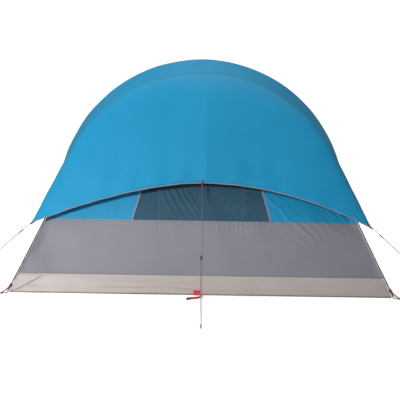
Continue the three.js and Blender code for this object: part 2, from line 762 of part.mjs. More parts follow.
function rearCentreTab() {
  const shape = new THREE.Shape();
  shape.moveTo(-11, 0);
  shape.lineTo(11, 0);
  shape.lineTo(7, -34);
  shape.lineTo(-7, -34);
  const geometry = new THREE.ExtrudeGeometry(shape, { depth: 3, bevelEnabled: false });
  const tab = part('rear_centre_fly_tab', geometry, finishes.webbing);
  tab.position.set(0, REAR_HEM.y - 14, REAR_HEM.z - 17);
  tab.rotation.x = Math.PI / 2 - degrees(24);
  return tab;
}

// The rear corner guylines pull out to the sides, and the front ones pull more to the front.
const CORNER_GUY_PEGS = {
  rear: new THREE.Vector3(1990, -1350, 12),
  front: new THREE.Vector3(1800, 1460, 12),
};

function guylines() {
  const group = new THREE.Group();
  group.name = 'guylines';
  group.add(guyline('rear_centre', REAR_GUY_TOP, REAR_GUY_PEG, 0.55));
  for (const [end, y] of [['rear', -1], ['front', 1]]) {
    for (const [label, x] of [['left', -1], ['right', 1]]) {
      const top = new THREE.Vector3(x * (FLY_CORNER.x + 24), y * (1000 + 12), FLY_CORNER.z - 16);
      const foot = CORNER_GUY_PEGS[end].clone();
      foot.x *= x;
      group.add(guyline(`${end}_${label}`, top, foot, 0.09));
    }
  }
  return group;
}

// ---- Assembly -----------------------------------------------------------------------------------
const tent = new THREE.Group();
tent.name = 'tunnel_tent';
tent.add(groundsheetTub());
tent.add(sideWalls());
tent.add(roofNetting());
tent.add(rearWall());
tent.add(frontWall());
tent.add(poleHoop('main', mainHoop, onMain));
tent.add(poleHoop('rear', endHoop, onRear));
const onFront = (point) => onRear(point).multiply(new THREE.Vector3(1, -1, 1));
tent.add(poleHoop('front', endHoop, onFront));
tent.add(flySheet());
tent.add(flyHemBinding());
tent.add(rearCentreTab());
tent.add(guylines());
tent.add(webbingAndPegs());

export default tent;
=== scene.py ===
import math

import bpy
import numpy as np
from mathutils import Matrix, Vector


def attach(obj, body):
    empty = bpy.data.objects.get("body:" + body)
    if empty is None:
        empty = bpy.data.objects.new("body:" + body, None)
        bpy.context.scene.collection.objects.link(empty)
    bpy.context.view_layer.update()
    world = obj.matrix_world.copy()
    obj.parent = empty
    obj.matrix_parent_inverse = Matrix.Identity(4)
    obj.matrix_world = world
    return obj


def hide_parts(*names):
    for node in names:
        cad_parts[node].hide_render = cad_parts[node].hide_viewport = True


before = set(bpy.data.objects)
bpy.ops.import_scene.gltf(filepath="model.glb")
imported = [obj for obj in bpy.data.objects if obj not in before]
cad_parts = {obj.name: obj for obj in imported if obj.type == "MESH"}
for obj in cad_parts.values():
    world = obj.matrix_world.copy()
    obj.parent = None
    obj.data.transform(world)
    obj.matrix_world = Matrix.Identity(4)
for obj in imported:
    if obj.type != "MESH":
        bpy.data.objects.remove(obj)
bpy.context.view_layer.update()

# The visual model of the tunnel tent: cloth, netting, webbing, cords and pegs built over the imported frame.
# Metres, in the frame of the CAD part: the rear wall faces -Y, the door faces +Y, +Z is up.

# ---- The tent's dimensions, as in the CAD part ---------------------------------------------------
HEIGHT = 2.0
HALF_WIDTH = 1.565
HALF_LENGTH = 1.2
END_CROWN_HEIGHT = 1.78
END_LEAN = math.radians(24.2)
POLE_RADIUS = 0.0055
POLE_TO_CLOTH = 0.015
POLE_TO_FLY = 0.020
TUB_HEIGHT = 0.15
BAND_HEIGHT = 0.57
SIDE_WALL_HEIGHT = 1.15
DOOR_HALF = 0.45
DOOR_SILL_HEIGHT = 0.2
DOOR_TOP_HEIGHT = 1.33
WINDOW_BOTTOM_HALF = 0.58
WINDOW_TOP_HALF = 0.42
CORD_RADIUS = 0.0019
FLY_CORNER = np.array([1.41, -1.0, 0.545])
SLOPE = 1 / math.cos(END_LEAN)
# Thicknesses of the cloth, the netting and the groundsheet's sides.
CLOTH = 0.0012
NETTING = 0.0008
TUB_SHEET = 0.0022
# The gap between two cloths that are sewn together, under their seam's tape.
SEWN_GAP = 0.001
ENDS = (("rear", -1), ("front", 1))
SIDES = (("left", -1), ("right", 1))
CORNERS = [(f"{end}_{side}", x, y) for end, y in ENDS for side, x in SIDES]
RIGHT = np.array([1.0, 0.0, 0.0])
UP = np.array([0.0, 0.0, 1.0])

# Width, thickness and stand-off of the tape over a seam.
SEAM_TAPE = (0.011, 0.0018, 0.0010)
# Thickness and stand-off of the window's binding.
WINDOW_TAPE = (0.0022, 0.0016)


# ---- Small mathematics ---------------------------------------------------------------------------
def unit(v):
    v = np.asarray(v, float)
    length = np.linalg.norm(v, axis=-1, keepdims=True)
    return v / np.where(length < 1e-12, 1.0, length)


def smooth(low, high, x):
    t = np.clip((np.asarray(x, float) - low) / (high - low), 0, 1)
    return t * t * (3 - 2 * t)


def between(rise, fall, x):
    """1 inside a stretch and 0 outside it; rise and fall are the pairs it fades in and out over."""
    return smooth(*rise, x) * (1 - smooth(*fall, x))


def lengths_along(path):
    steps = np.linalg.norm(np.diff(path, axis=0), axis=-1)
    return np.concatenate([[0], np.cumsum(steps)])


def interpolate(at, places, values):
    """The three-part values at some places, from those known at other places."""
    return np.stack([np.interp(at, places, values[:, k]) for k in range(3)], -1)


def minus(function):
    return lambda s: -function(s)


def wrap(loop):
    """A loop of points with its first one repeated at the end."""
    return np.concatenate([loop, loop[:1]])


def rim(grid, inset=0):
    """The border of a grid, or the line that is some places in from it."""
    return np.concatenate([grid[inset, :-1], grid[:-1, -1 - inset],
                           grid[-1 - inset, :0:-1], grid[:0:-1, inset]])


def ripples(x, y, seed, shortest, longest, count=14):
    """Smooth random unevenness of a flat cloth, about -1 to 1."""
    rng = np.random.default_rng(seed)
    total = np.zeros(np.broadcast(x, y).shape)
    for _ in range(count):
        wave = math.exp(rng.uniform(math.log(shortest), math.log(longest)))
        turn = rng.uniform(0, math.pi)
        phase = rng.uniform(0, 2 * math.pi)
        along = x * math.cos(turn) + y * math.sin(turn)
        total = total + np.sin(2 * math.pi * along / wave + phase)
    return total / math.sqrt(count) / 1.4


def fold(phase, sharpness=2.0):
    """A row of narrow raised folds, 0 to 1, one for each turn of the phase."""
    return np.exp(sharpness * (np.cos(phase) - 1))


def folds(place, spacing, sharpness, wander, *noise):
    """Folds at a spacing that wander by some ripples."""
    return fold(2 * math.pi * place / spacing + wander * ripples(*noise), sharpness)


# ---- Hoops ---------------------------------------------------------------------------------------
class Hoop:
    """Straight legs running tangent into a round crown, in a plane: points are (across, up)."""

    def __init__(self, crown, leg_angle):
        rise = math.tan(leg_angle)
        self.leg_angle = leg_angle
        self.radius = (HALF_WIDTH - crown / rise) / (math.sin(leg_angle) - (1 - math.cos(leg_angle)) / rise)
        self.centre = crown - self.radius

    def half_width(self, height, offset=0.0):
        height = np.asarray(height, float)
        radius = self.radius + offset
        tangent = self.centre + radius * math.cos(self.leg_angle)
        crown = np.sqrt(np.maximum(radius ** 2 - (height - self.centre) ** 2, 0))
        leg = radius * math.sin(self.leg_angle) + (tangent - height) / math.tan(self.leg_angle)
        return np.where(height > tangent, crown, leg)

    def length_to(self, height):
        tangent = self.centre + self.radius * math.cos(self.leg_angle)
        if height > tangent:
            return self.radius * math.acos((height - self.centre) / self.radius)
        return self.radius * self.leg_angle + (tangent - height) / math.sin(self.leg_angle)

    def point(self, distance, offset=0.0):
        distance = np.asarray(distance, float)
        side = np.where(distance < 0, -1.0, 1.0)
        angle = np.minimum(np.abs(distance) / self.radius, self.leg_angle)
        leg = np.maximum(np.abs(distance) - self.radius * self.leg_angle, 0)
        radius = self.radius + offset
        across = radius * np.sin(angle) + leg * math.cos(self.leg_angle)
        up = self.centre + radius * np.cos(angle) - leg * math.sin(self.leg_angle)
        return side * across, up


MAIN = Hoop(HEIGHT - POLE_TO_FLY, math.radians(75.1))
END = Hoop(END_CROWN_HEIGHT * SLOPE, math.radians(67.9))


def on_end(across, up, end=-1):
    """A point of an end hoop's leaning plane; end is -1 for the rear and 1 for the front."""
    y = -HALF_LENGTH + up * math.sin(END_LEAN)
    return np.stack([across, -end * y, up * math.cos(END_LEAN)], -1)


def length_at(height):
    return HALF_LENGTH - height * math.tan(END_LEAN)


# ---- Meshes --------------------------------------------------------------------------------------
def join_parts(parts):
    verts, faces, uvs, start = [], [], [], 0
    for v, f, uv in parts:
        verts.append(v)
        faces.extend([tuple(int(i) + start for i in face) for face in f])
        uvs.append(uv)
        start += len(v)
    return np.concatenate(verts), faces, np.concatenate(uvs)


def place_object(name, data):
    holder = bpy.data.objects.new(name, data)
    bpy.context.scene.collection.objects.link(holder)
    return holder


def make(name, parts, mat, body="tent", replaces=()):
    """One piece on a body, from parts that each hold vertices, faces and cloth coordinates."""
    verts, faces, uvs = join_parts(parts)
    mesh = bpy.data.meshes.new(name)
    mesh.from_pydata([tuple(v) for v in verts], [], faces)
    mesh.validate()
    layer = mesh.uv_layers.new(name="cloth")
    index = np.empty(len(mesh.loops), dtype=np.int32)
    mesh.loops.foreach_get("vertex_index", index)
    layer.data.foreach_set("uv", uvs[index].ravel())
    mesh.materials.append(mat)
    for polygon in mesh.polygons:
        polygon.use_smooth = True
    piece = place_object(name, mesh)
    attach(piece, body)
    if replaces:
        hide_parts(*replaces)


def grid_normals(points):
    along_u = np.gradient(points, axis=1)
    along_v = np.gradient(points, axis=0)
    return unit(np.cross(along_u, along_v))


def sheet_parts(points, thickness=CLOTH, displacement=None):
    """Vertices, faces and cloth coordinates of one closed sheet of cloth from a grid of its outer face."""
    normals = grid_normals(points)
    if displacement is not None:
        points = points + normals * displacement[..., None]
        normals = grid_normals(points)
    rows, cols = points.shape[:2]
    back = points - normals * thickness
    step_u = np.linalg.norm(np.diff(points, axis=1), axis=-1)
    step_v = np.linalg.norm(np.diff(points, axis=0), axis=-1)
    u = np.concatenate([np.zeros((rows, 1)), np.cumsum(step_u, 1)], 1)
    u = u - u[:, -1:] / 2
    v = np.concatenate([np.zeros((1, cols)), np.cumsum(step_v, 0)], 0)
    uv = np.stack([u, v], -1).reshape(-1, 2)
    index = np.arange(rows * cols).reshape(rows, cols)
    a, b = index[:-1, :-1], index[:-1, 1:]
    c, d = index[1:, 1:], index[1:, :-1]
    front = np.stack([a, b, c, d], -1).reshape(-1, 4)
    offset = rows * cols
    rear = np.stack([a, d, c, b], -1).reshape(-1, 4) + offset
    border = rim(index)
    after = np.roll(border, -1)
    edge = np.stack([border, border + offset, after + offset, after], -1)
    verts = np.concatenate([points.reshape(-1, 3), back.reshape(-1, 3)])
    return verts, np.concatenate([front, rear, edge]), np.concatenate([uv, uv])


def sheet(name, points, mat, displacement=None, thickness=CLOTH, **options):
    make(name, [sheet_parts(points, thickness, displacement)], mat, **options)


def skin_faces(rings, around, closed=False):
    """Faces of a skin through equal rings of points, capped at its ends unless it closes on itself."""
    faces = []
    for i in range(rings if closed else rings - 1):
        shift = around if i + 1 < rings else -i * around
        for k in range(around):
            a = i * around + k
            b = i * around + (k + 1) % around
            faces.append((a, b, b + shift, a + shift))
    if not closed:
        faces.append(tuple(range(around - 1, -1, -1)))
        faces.append(tuple((rings - 1) * around + k for k in range(around)))
    return faces


def tube_parts(path, radius, sides=10, squash=(1.0, 1.0), side_hint=None, closed=False):
    """A round or flattened bar along a path; radius may change along it."""
    path = np.asarray(path, float)
    count = len(path)
    radius = np.broadcast_to(np.asarray(radius, float), (count,))
    if closed:
        tangent = unit(np.roll(path, -1, 0) - np.roll(path, 1, 0))
    else:
        tangent = unit(np.gradient(path, axis=0))
    if side_hint is None:
        hint = RIGHT if abs(tangent[0] @ UP) > 0.9 else UP
        side = unit(np.cross(hint, tangent[0]))
        sides_at = []
        for t in tangent:
            side = unit(side - t * (side @ t))
            sides_at.append(side)
        across = np.array(sides_at)
    else:
        along = np.sum(side_hint * tangent, -1, keepdims=True)
        across = unit(np.asarray(side_hint, float) - tangent * along)
    other = np.cross(tangent, across)
    angle = 2 * math.pi * np.arange(sides) / sides
    ring = (across[:, None] * np.cos(angle)[None, :, None] * squash[0]
            + other[:, None] * np.sin(angle)[None, :, None] * squash[1])
    verts = (path[:, None] + ring * radius[:, None, None]).reshape(-1, 3)
    turn = np.arange(sides)[None, :] / sides * 0.01
    uv = np.stack(np.broadcast_arrays(turn, lengths_along(path)[:, None]), -1)
    return verts, skin_faces(count, sides, closed), uv.reshape(-1, 2)


def ribbon_parts(path, across, width, thickness):
    """A strap: a flat band with rounded edges along a path, lying across the given direction."""
    path = np.asarray(path, float)
    across = np.broadcast_to(np.asarray(across, float), path.shape)
    tangent = unit(np.gradient(path, axis=0))
    across = unit(across - tangent * np.sum(across * tangent, -1, keepdims=True))
    up = np.cross(tangent, across)
    half, lift = width / 2, thickness / 2
    bevel = min(lift, half) * 0.6
    section = [(-half, -lift + bevel), (-half + bevel, -lift), (-half / 3, -lift), (half / 3, -lift),
               (half - bevel, -lift), (half, -lift + bevel), (half, lift - bevel), (half - bevel, lift),
               (half / 3, lift), (-half / 3, lift), (-half + bevel, lift), (-half, lift - bevel)]
    rows = [[p + a * s + n * t for s, t in section] for p, a, n in zip(path, across, up)]
    verts = np.array(rows).reshape(-1, 3)
    uv = [[(s, length) for s, _ in section] for length in lengths_along(path)]
    return verts, skin_faces(len(path), len(section)), np.array(uv).reshape(-1, 2)


def resample(path, step):
    path = np.asarray(path, float)
    lengths = lengths_along(path)
    count = max(int(round(lengths[-1] / step)), 1)
    at = np.linspace(0, lengths[-1], count + 1)
    return interpolate(at, lengths, path)


def smoothed(keys, count, passes):
    """A softened path of count points led by a few key points."""
    path = interpolate(np.linspace(0, len(keys) - 1, count), np.arange(len(keys)), keys)
    for _ in range(passes):
        path[1:-1] = (path[:-2] + 2 * path[1:-1] + path[2:]) / 4
    return path


def stitch_parts(path, outward, pitch=0.006, length=0.0038, radius=0.00045):
    """A row of thread stitches lying on a cloth along a path; outward is the cloth's normal there."""
    path = np.asarray(path, float)
    outward = np.broadcast_to(np.asarray(outward, float), path.shape)
    lengths = lengths_along(path)
    starts = np.arange(0, lengths[-1] - length, pitch)
    p0, p1 = interpolate(starts, lengths, path), interpolate(starts + length, lengths, path)
    n = unit(interpolate(starts, lengths, outward))
    side = unit(np.cross(unit(p1 - p0), n)) * radius
    middle = (p0 + p1) / 2 + n * radius * 1.6
    verts = np.stack([p0, middle + side, middle - side, p1, middle + n * radius], 1)
    count = len(starts)
    base = np.arange(count)[:, None] * 5
    triangles = np.array([[0, 1, 4], [0, 4, 2], [0, 2, 1], [3, 4, 1], [3, 2, 4], [3, 1, 2]])
    faces = (base[:, None, :] + triangles[None]).reshape(-1, 3)
    return verts.reshape(-1, 3), faces, np.zeros((count * 5, 2))


# ---- Materials -----------------------------------------------------------------------------------
def srgb(r, g, b):
    def linear(c):
        c = c / 255
        return c / 12.92 if c <= 0.04045 else ((c + 0.055) / 1.055) ** 2.4
    return (linear(r), linear(g), linear(b), 1.0)


class Nodes:
    """A short way to wire a material, or the world."""

    def __init__(self, name, world=False):
        self.owner = (bpy.data.worlds if world else bpy.data.materials).new(name)
        self.owner.use_nodes = True
        self.tree = self.owner.node_tree
        self.tree.nodes.clear()
        self.out = self.tree.nodes.new("ShaderNodeOutput" + ("World" if world else "Material"))

    def add(self, kind, inputs=None, **settings):
        node = self.tree.nodes.new("ShaderNode" + kind)
        for key, value in settings.items():
            setattr(node, key, value)
        for key, value in (inputs or {}).items():
            if isinstance(value, bpy.types.NodeSocket):
                self.tree.links.new(value, node.inputs[key])
            else:
                node.inputs[key].default_value = value
        return node

    def maths(self, operation, a, b=0.0, c=0.0):
        return self.add("Math", {0: a, 1: b, 2: c}, operation=operation).outputs[0]

    def mix(self, factor, a, b):
        return self.add("Mix", {0: factor, 6: a, 7: b}, data_type="RGBA").outputs[2]

    def remap(self, value, low, high, out_low, out_high):
        return self.add("MapRange", {0: value, 1: low, 2: high, 3: out_low, 4: out_high}).outputs[0]

    def surface(self, tone, rough, height, strength, distance, more):
        """A shader over a bumpy surface, and the bump itself."""
        bump = self.add("Bump", {"Strength": strength, "Distance": distance, "Height": height}).outputs[0]
        inputs = {"Base Color": tone, "Roughness": rough, "Normal": bump, **more}
        return self.add("BsdfPrincipled", inputs).outputs[0], bump

    def finish(self, shader):
        self.tree.links.new(shader, self.out.inputs[0])
        return self.owner


def shade(colour, factor):
    return tuple(c * factor for c in colour[:3]) + (1.0,)


def weave(n, uv, pitch):
    """Over-and-under threads of a plain weave, 0 to 1, and the separate warp and weft coordinates."""
    split = n.add("SeparateXYZ", {0: uv})
    warp = n.maths("SINE", n.maths("MULTIPLY", split.outputs[0], 2 * math.pi / pitch))
    weft = n.maths("SINE", n.maths("MULTIPLY", split.outputs[1], 2 * math.pi / pitch))
    both = n.maths("MULTIPLY", warp, weft)
    return n.maths("MULTIPLY_ADD", both, 0.5, 0.5), split


def cloth_material(name, colour, roughness=0.55, pitch=0.0016, through=0.18, uneven=0.10,
                   dust_and_edge_shade=0.0, sheen=0.25, crinkle=0.25, ripstop=0.0, gloss=0.35):
    """Coated woven cloth: weave, soft crinkles, uneven dye, dust near the ground, painted shade at its foot,
    light through it.
    """
    n = Nodes(name)
    coords = n.add("TexCoord")
    uv = coords.outputs["UV"]
    place = coords.outputs["Object"]
    threads, split = weave(n, uv, pitch)
    broad = n.add("TexNoise", {"Vector": place, "Scale": 2.2, "Detail": 3.0, "Roughness": 0.5})
    fine = n.add("TexNoise", {"Vector": place, "Scale": 60.0, "Detail": 4.0, "Roughness": 0.65})
    creases = n.add("TexNoise", {"Vector": place, "Scale": 9.0, "Detail": 5.0, "Roughness": 0.6,
                                 "Distortion": 0.6})
    tone = n.mix(n.remap(broad.outputs[0], 0.3, 0.7, 0.0, 1.0),
                 shade(colour, 1 - uneven), shade(colour, 1 + uneven))
    tone = n.mix(n.remap(fine.outputs[0], 0.35, 0.65, 0.0, 0.35), tone, shade(colour, 1 - 1.4 * uneven))
    tone = n.mix(n.maths("MULTIPLY", threads, 0.10), tone, shade(colour, 0.6))
    if ripstop > 0:
        for k in (0, 1):
            line = n.maths("FRACT", n.maths("DIVIDE", split.outputs[k], ripstop))
            line = n.maths("LESS_THAN", line, 0.07)
            tone = n.mix(n.maths("MULTIPLY", line, 0.18), tone, shade(colour, 0.55))
    if dust_and_edge_shade > 0:
        height = n.add("SeparateXYZ", {0: place}).outputs[2]
        low = n.remap(height, 0.0, 0.22, dust_and_edge_shade, 0.0)
        low = n.maths("MULTIPLY", low, n.remap(creases.outputs[0], 0.35, 0.65, 0.2, 1.0))
        tone = n.mix(low, tone, srgb(122, 108, 92))
        # Painted shade: a dark line over the bottom 13 mm stands in for the contact shadow where the sheet
        # meets the floor.
        tone = n.mix(n.remap(height, 0.004, 0.013, 0.8, 0.0), tone, srgb(84, 78, 74))
    height = n.maths("ADD", n.maths("MULTIPLY", threads, 0.12),
                     n.maths("MULTIPLY", creases.outputs[0], crinkle * 8))
    rough = n.remap(fine.outputs[0], 0.3, 0.7, roughness - 0.07, roughness + 0.08)
    cloth, bump = n.surface(tone, rough, height, 0.35, 0.0016,
                            {"Specular IOR Level": gloss, "Sheen Weight": sheen, "Sheen Roughness": 0.45})
    if through <= 0:
        return n.finish(cloth)
    glow = n.add("BsdfTranslucent", {"Color": tone, "Normal": bump})
    both = n.add("MixShader", {0: through, 1: cloth, 2: glow.outputs[0]})
    return n.finish(both.outputs[0])


def netting_material(name, colour, openness=0.45, pitch=0.0022):
    """Fine knitted netting: threads with open holes between them."""
    n = Nodes(name)
    coords = n.add("TexCoord")
    threads, _ = weave(n, coords.outputs["UV"], pitch)
    cloudy = n.add("TexNoise", {"Vector": coords.outputs["Object"], "Scale": 7.0, "Detail": 4.0})
    tone = n.mix(cloudy.outputs[0], shade(colour, 0.8), shade(colour, 1.35))
    thread, _ = n.surface(tone, 0.7, threads, 0.3, 0.0008, {"Sheen Weight": 0.5, "Sheen Roughness": 0.4})
    hole = n.add("BsdfTransparent")
    gaps = n.remap(threads, 0.25, 0.75, openness * 0.55, min(openness * 1.45, 1.0))
    both = n.add("MixShader", {0: gaps, 1: thread, 2: hole.outputs[0]})
    return n.finish(both.outputs[0])


def webbing_material(name, colour, pitch=0.0016):
    """Woven strap: slanting ribs along its length, worn paler in small patches."""
    n = Nodes(name)
    coords = n.add("TexCoord")
    split = n.add("SeparateXYZ", {0: coords.outputs["UV"]})
    slant = n.maths("ADD", n.maths("ABSOLUTE", split.outputs[0]), split.outputs[1])
    ribs = n.maths("SINE", n.maths("MULTIPLY", slant, 2 * math.pi / pitch))
    ribs = n.maths("MULTIPLY_ADD", ribs, 0.5, 0.5)
    worn = n.add("TexNoise", {"Vector": coords.outputs["Object"], "Scale": 120.0, "Detail": 3.0})
    tone = n.mix(n.maths("MULTIPLY", ribs, 0.35), colour, shade(colour, 0.45))
    tone = n.mix(n.remap(worn.outputs[0], 0.55, 0.8, 0.0, 0.4), tone, shade(colour, 1.5))
    return n.finish(n.surface(tone, 0.72, ribs, 0.6, 0.0006, {"Sheen Weight": 0.3})[0])


def cord_material(name, colour, fleck):
    """Braided cord: a spiral of fleck threads through its colour."""
    n = Nodes(name)
    coords = n.add("TexCoord")
    split = n.add("SeparateXYZ", {0: coords.outputs["UV"]})
    turn = n.maths("MULTIPLY", split.outputs[0], 100.0)
    along = n.maths("MULTIPLY", split.outputs[1], 160.0)
    strand = n.maths("FRACT", n.maths("ADD", turn, along))
    other = n.maths("FRACT", n.maths("SUBTRACT", along, turn))
    tone = n.mix(n.maths("LESS_THAN", strand, 0.3), colour, fleck)
    tone = n.mix(n.maths("MULTIPLY", n.maths("LESS_THAN", other, 0.16), 0.5), tone, shade(colour, 0.6))
    braid = n.maths("MULTIPLY", strand, other)
    return n.finish(n.surface(tone, 0.7, braid, 0.5, 0.0005, {"Sheen Weight": 0.3})[0])


def hard_material(name, colour, roughness, metallic=0.0, scratch=0.3, coat=0.0):
    """Metal, fibreglass or moulded plastic: fine lengthwise scratches and smudges."""
    n = Nodes(name)
    coords = n.add("TexCoord")
    place = coords.outputs["Object"]
    stretched = n.add("Mapping", {"Vector": place, "Scale": (90.0, 90.0, 6.0)})
    lines = n.add("TexNoise", {"Vector": stretched.outputs[0], "Scale": 4.0, "Detail": 5.0,
                               "Roughness": 0.7})
    smudge = n.add("TexNoise", {"Vector": place, "Scale": 18.0, "Detail": 3.0})
    tone = n.mix(n.remap(lines.outputs[0], 0.35, 0.7, 0.0, scratch), colour, shade(colour, 1.9))
    tone = n.mix(n.remap(smudge.outputs[0], 0.4, 0.75, 0.0, 0.3), tone, shade(colour, 0.7))
    rough = n.remap(smudge.outputs[0], 0.3, 0.7, roughness * 0.8, min(roughness * 1.3, 1.0))
    more = {"Metallic": metallic, "Coat Weight": coat}
    return n.finish(n.surface(tone, rough, lines.outputs[0], 0.15, 0.0004, more)[0])


FLY = cloth_material("fly_polyester_blue", srgb(34, 149, 195), roughness=0.5, through=0.14, uneven=0.04,
                     crinkle=0.15, sheen=0.02, gloss=0.14)
WALL = cloth_material("wall_polyester_blue", srgb(20, 150, 198), roughness=0.55, through=0.20, uneven=0.06)
BAND = cloth_material("band_polyester_grey", srgb(134, 134, 144), roughness=0.6, through=0.10, uneven=0.05)
TUB = cloth_material("groundsheet_pe_beige", srgb(179, 171, 167), roughness=0.45, pitch=0.0032,
                     through=0.05, uneven=0.03, dust_and_edge_shade=0.10, sheen=0.1, crinkle=0.4, ripstop=0.012)
NET = netting_material("netting_dark_teal", srgb(33, 78, 100), openness=0.24)
ROOF_NET = netting_material("roof_netting_grey", srgb(70, 84, 96), openness=0.5)
BINDING = cloth_material("binding_light_grey", srgb(124, 132, 148), roughness=0.7, pitch=0.0012,
                         through=0.0, uneven=0.10)
SEAM = cloth_material("seam_tape_grey", srgb(128, 127, 136), roughness=0.6, pitch=0.0014, through=0.0,
                      uneven=0.08)
TUB_SEAM = cloth_material("groundsheet_seam_tape", srgb(128, 122, 122), roughness=0.6, pitch=0.0014,
                          through=0.0, uneven=0.08)
THREAD = cloth_material("stitch_thread", srgb(176, 180, 190), roughness=0.6, pitch=0.0006, through=0.0)
RED = webbing_material("webbing_red", srgb(214, 28, 34))
DARK_RED = webbing_material("webbing_dark_red", srgb(122, 26, 38))
BLACK_WEB = webbing_material("webbing_black", srgb(32, 32, 36))
CORD = cord_material("guyline_pink_grey", srgb(98, 68, 78), srgb(126, 42, 56))
POLE = hard_material("pole_fibreglass_black", srgb(26, 26, 29), 0.35, scratch=0.25, coat=0.3)
STEEL = hard_material("steel_zinc_plated", srgb(168, 171, 176), 0.34, metallic=0.9, scratch=0.5)
PLASTIC = hard_material("moulded_plastic_black", srgb(30, 31, 35), 0.5, scratch=0.15)
ZIP = hard_material("zip_nylon_dark", srgb(48, 52, 60), 0.6, scratch=0.2)

# The record's material slot that each material belongs to.
for slot, materials in {
        "fly_cloth": [FLY], "wall_cloth": [WALL], "band_cloth": [BAND, SEAM], "tub_cloth": [TUB, TUB_SEAM],
        "netting": [NET, ROOF_NET], "binding": [BINDING, THREAD], "webbing": [RED, DARK_RED, BLACK_WEB],
        "cord": [CORD], "pole": [POLE], "peg": [STEEL], "runner": [PLASTIC], "zip": [ZIP]}.items():
    for material in materials:
        material["slot"] = slot


# ---- Cloth shapes --------------------------------------------------------------------------------
def fan(points, anchor, towards, plane_normal, count, spread, reach, seed):
    """Tension folds fanning out of an anchor point, 0 to 1 in height."""
    towards = unit(np.asarray(towards, float))
    sideways = unit(np.cross(plane_normal, towards))
    offset = points - np.asarray(anchor, float)
    distance = np.linalg.norm(offset, axis=-1)
    angle = np.arctan2(offset @ sideways, offset @ towards)
    wander = ripples(distance, angle * 0.4, seed, 0.15, 0.6, 6)
    folds = fold(count * angle + 1.3 * wander, 2.4)
    strength = smooth(0.0, 0.03, distance) * np.exp(-distance / reach) * np.exp(-(angle / spread) ** 2)
    return folds * strength


def rear_relief(x, slope):
    """How far the rear wall's cloth stands out of its plane: billow, gathers, drag lines."""
    z = slope / SLOPE
    relief = 0.0018 * ripples(x, slope, 3, 0.14, 0.5, 16)
    billow = np.sin(math.pi * np.clip((z - TUB_HEIGHT) / (BAND_HEIGHT - TUB_HEIGHT), 0, 1))
    relief = relief + 0.012 * billow * (1 - (x / 1.7) ** 4)
    corner = np.exp(-((x + 1.17 + 0.40 * (z - 0.15)) / 0.16) ** 2 - ((z - 0.30) / 0.19) ** 2)
    relief = relief - 0.034 * corner
    relief = relief - 0.010 * smooth(0.9, 1.3, x + 0.40 * (z - 0.15))
    below = np.clip(BAND_HEIGHT - z, 0, None)
    gather = folds(x, 0.043, 2.4, 2.8, x, slope * 0.3, 11, 0.06, 0.30, 8)
    vary = np.clip(0.5 + 0.9 * ripples(x, x * 0, 12, 0.05, 0.22, 7), 0.04, 1.2)
    near = between((-0.62, -0.36), (0.50, 0.62), x) * (0.75 + 0.25 * smooth(-0.1, 0.12, x))
    depth = 0.040 + 0.055 * (0.5 + 0.5 * ripples(x, x * 0, 14, 0.08, 0.25, 5))
    fade = np.exp(-(below / depth) ** 1.3) * (z < BAND_HEIGHT + 0.02)
    relief = relief + 0.0062 * gather * vary * near * fade
    along = x * 0.70 + slope * 0.72
    across = x * 0.72 - slope * 0.70
    drag = folds(along, 0.066, 3.2, 1.8, along, across, 13, 0.15, 0.6, 7)
    vary = np.clip(0.5 + 0.8 * ripples(along, along * 0, 16, 0.08, 0.3, 6), 0.0, 1.2)
    patch = between((0.52, 0.72), (1.12, 1.26), x) * np.exp(-((z - 0.53) / 0.11) ** 2)
    relief = relief + 0.0080 * drag * vary * patch
    beside = between((0.50, 0.54), (0.62, 0.82), x) * np.exp(-((z - 0.72) / 0.10) ** 2)
    relief = relief + 0.0040 * drag * beside
    small = folds(along, 0.040, 2.0, 1.2, along, across, 17, 0.1, 0.4, 6)
    far = between((1.0, 1.1), (1.22, 1.30), x) * between((0.56, 0.60), (0.66, 0.72), z)
    relief = relief + 0.0040 * small * far
    patch = between((-1.25, -1.0), (-0.85, -0.6), x) * np.exp(-((z - 0.55) / 0.09) ** 2)
    slant = slope * 0.78 - x * 0.62
    mirrored = folds(slant, 0.11, 2.0, 1.2, x, slope, 15, 0.2, 0.7, 6)
    relief = relief + 0.0030 * mirrored * patch
    return relief


def window_relief(x, slope):
    """Slanting pull lines of the slack netting."""
    z = slope / SLOPE
    lean = x + (slope - 0.6) * 0.62
    lines = folds(lean, 0.058, 5.0, 1.4, x, slope, 21, 0.12, 0.4, 6)
    patch = between((-0.24, -0.15), (0.03, 0.12), lean)
    relief = 0.0075 * lines * patch * between((0.575, 0.61), (0.80, 0.92), z)
    other = x - (slope - 0.6) * 0.9
    lines = folds(other, 0.10, 2.0, 1.2, x, slope, 22, 0.15, 0.5, 6)
    patch = between((0.05, 0.25), (0.4, 0.55), x)
    relief = relief + 0.003 * lines * patch * smooth(0.58, 0.66, z)
    return relief + 0.0015 * ripples(x, slope, 23, 0.12, 0.4, 10)


def wall_edge(slope):
    return END.half_width(slope, -POLE_TO_CLOTH) - 0.003


def wall_points(across, slope, end):
    """A point on an end wall's outer face."""
    normal = np.array([0.0, end * math.cos(END_LEAN), math.sin(END_LEAN)])
    base = np.stack([across, end * (HALF_LENGTH - POLE_TO_CLOTH - slope * math.sin(END_LEAN)),
                     slope * math.cos(END_LEAN)], -1)
    return base, normal


def wall_grid(left, right, low, high, cols, rows, end, relief):
    """A grid between two side edges, given as functions of slope, seen from outside."""
    slope = np.linspace(low, high, rows)[:, None]
    t = np.linspace(0, 1, cols)[None, :]
    across = left(slope) + (right(slope) - left(slope)) * t
    slope = np.broadcast_to(slope, across.shape)
    base, normal = wall_points(across, slope, end)
    if end > 0:
        base, across = base[:, ::-1], across[:, ::-1]
    return base + normal * relief(across, slope)[..., None]


def window_half(slope):
    low, high = BAND_HEIGHT * SLOPE, SIDE_WALL_HEIGHT * SLOPE
    t = (np.asarray(slope, float) - low) / (high - low)
    return WINDOW_BOTTOM_HALF + (WINDOW_TOP_HALF - WINDOW_BOTTOM_HALF) * t


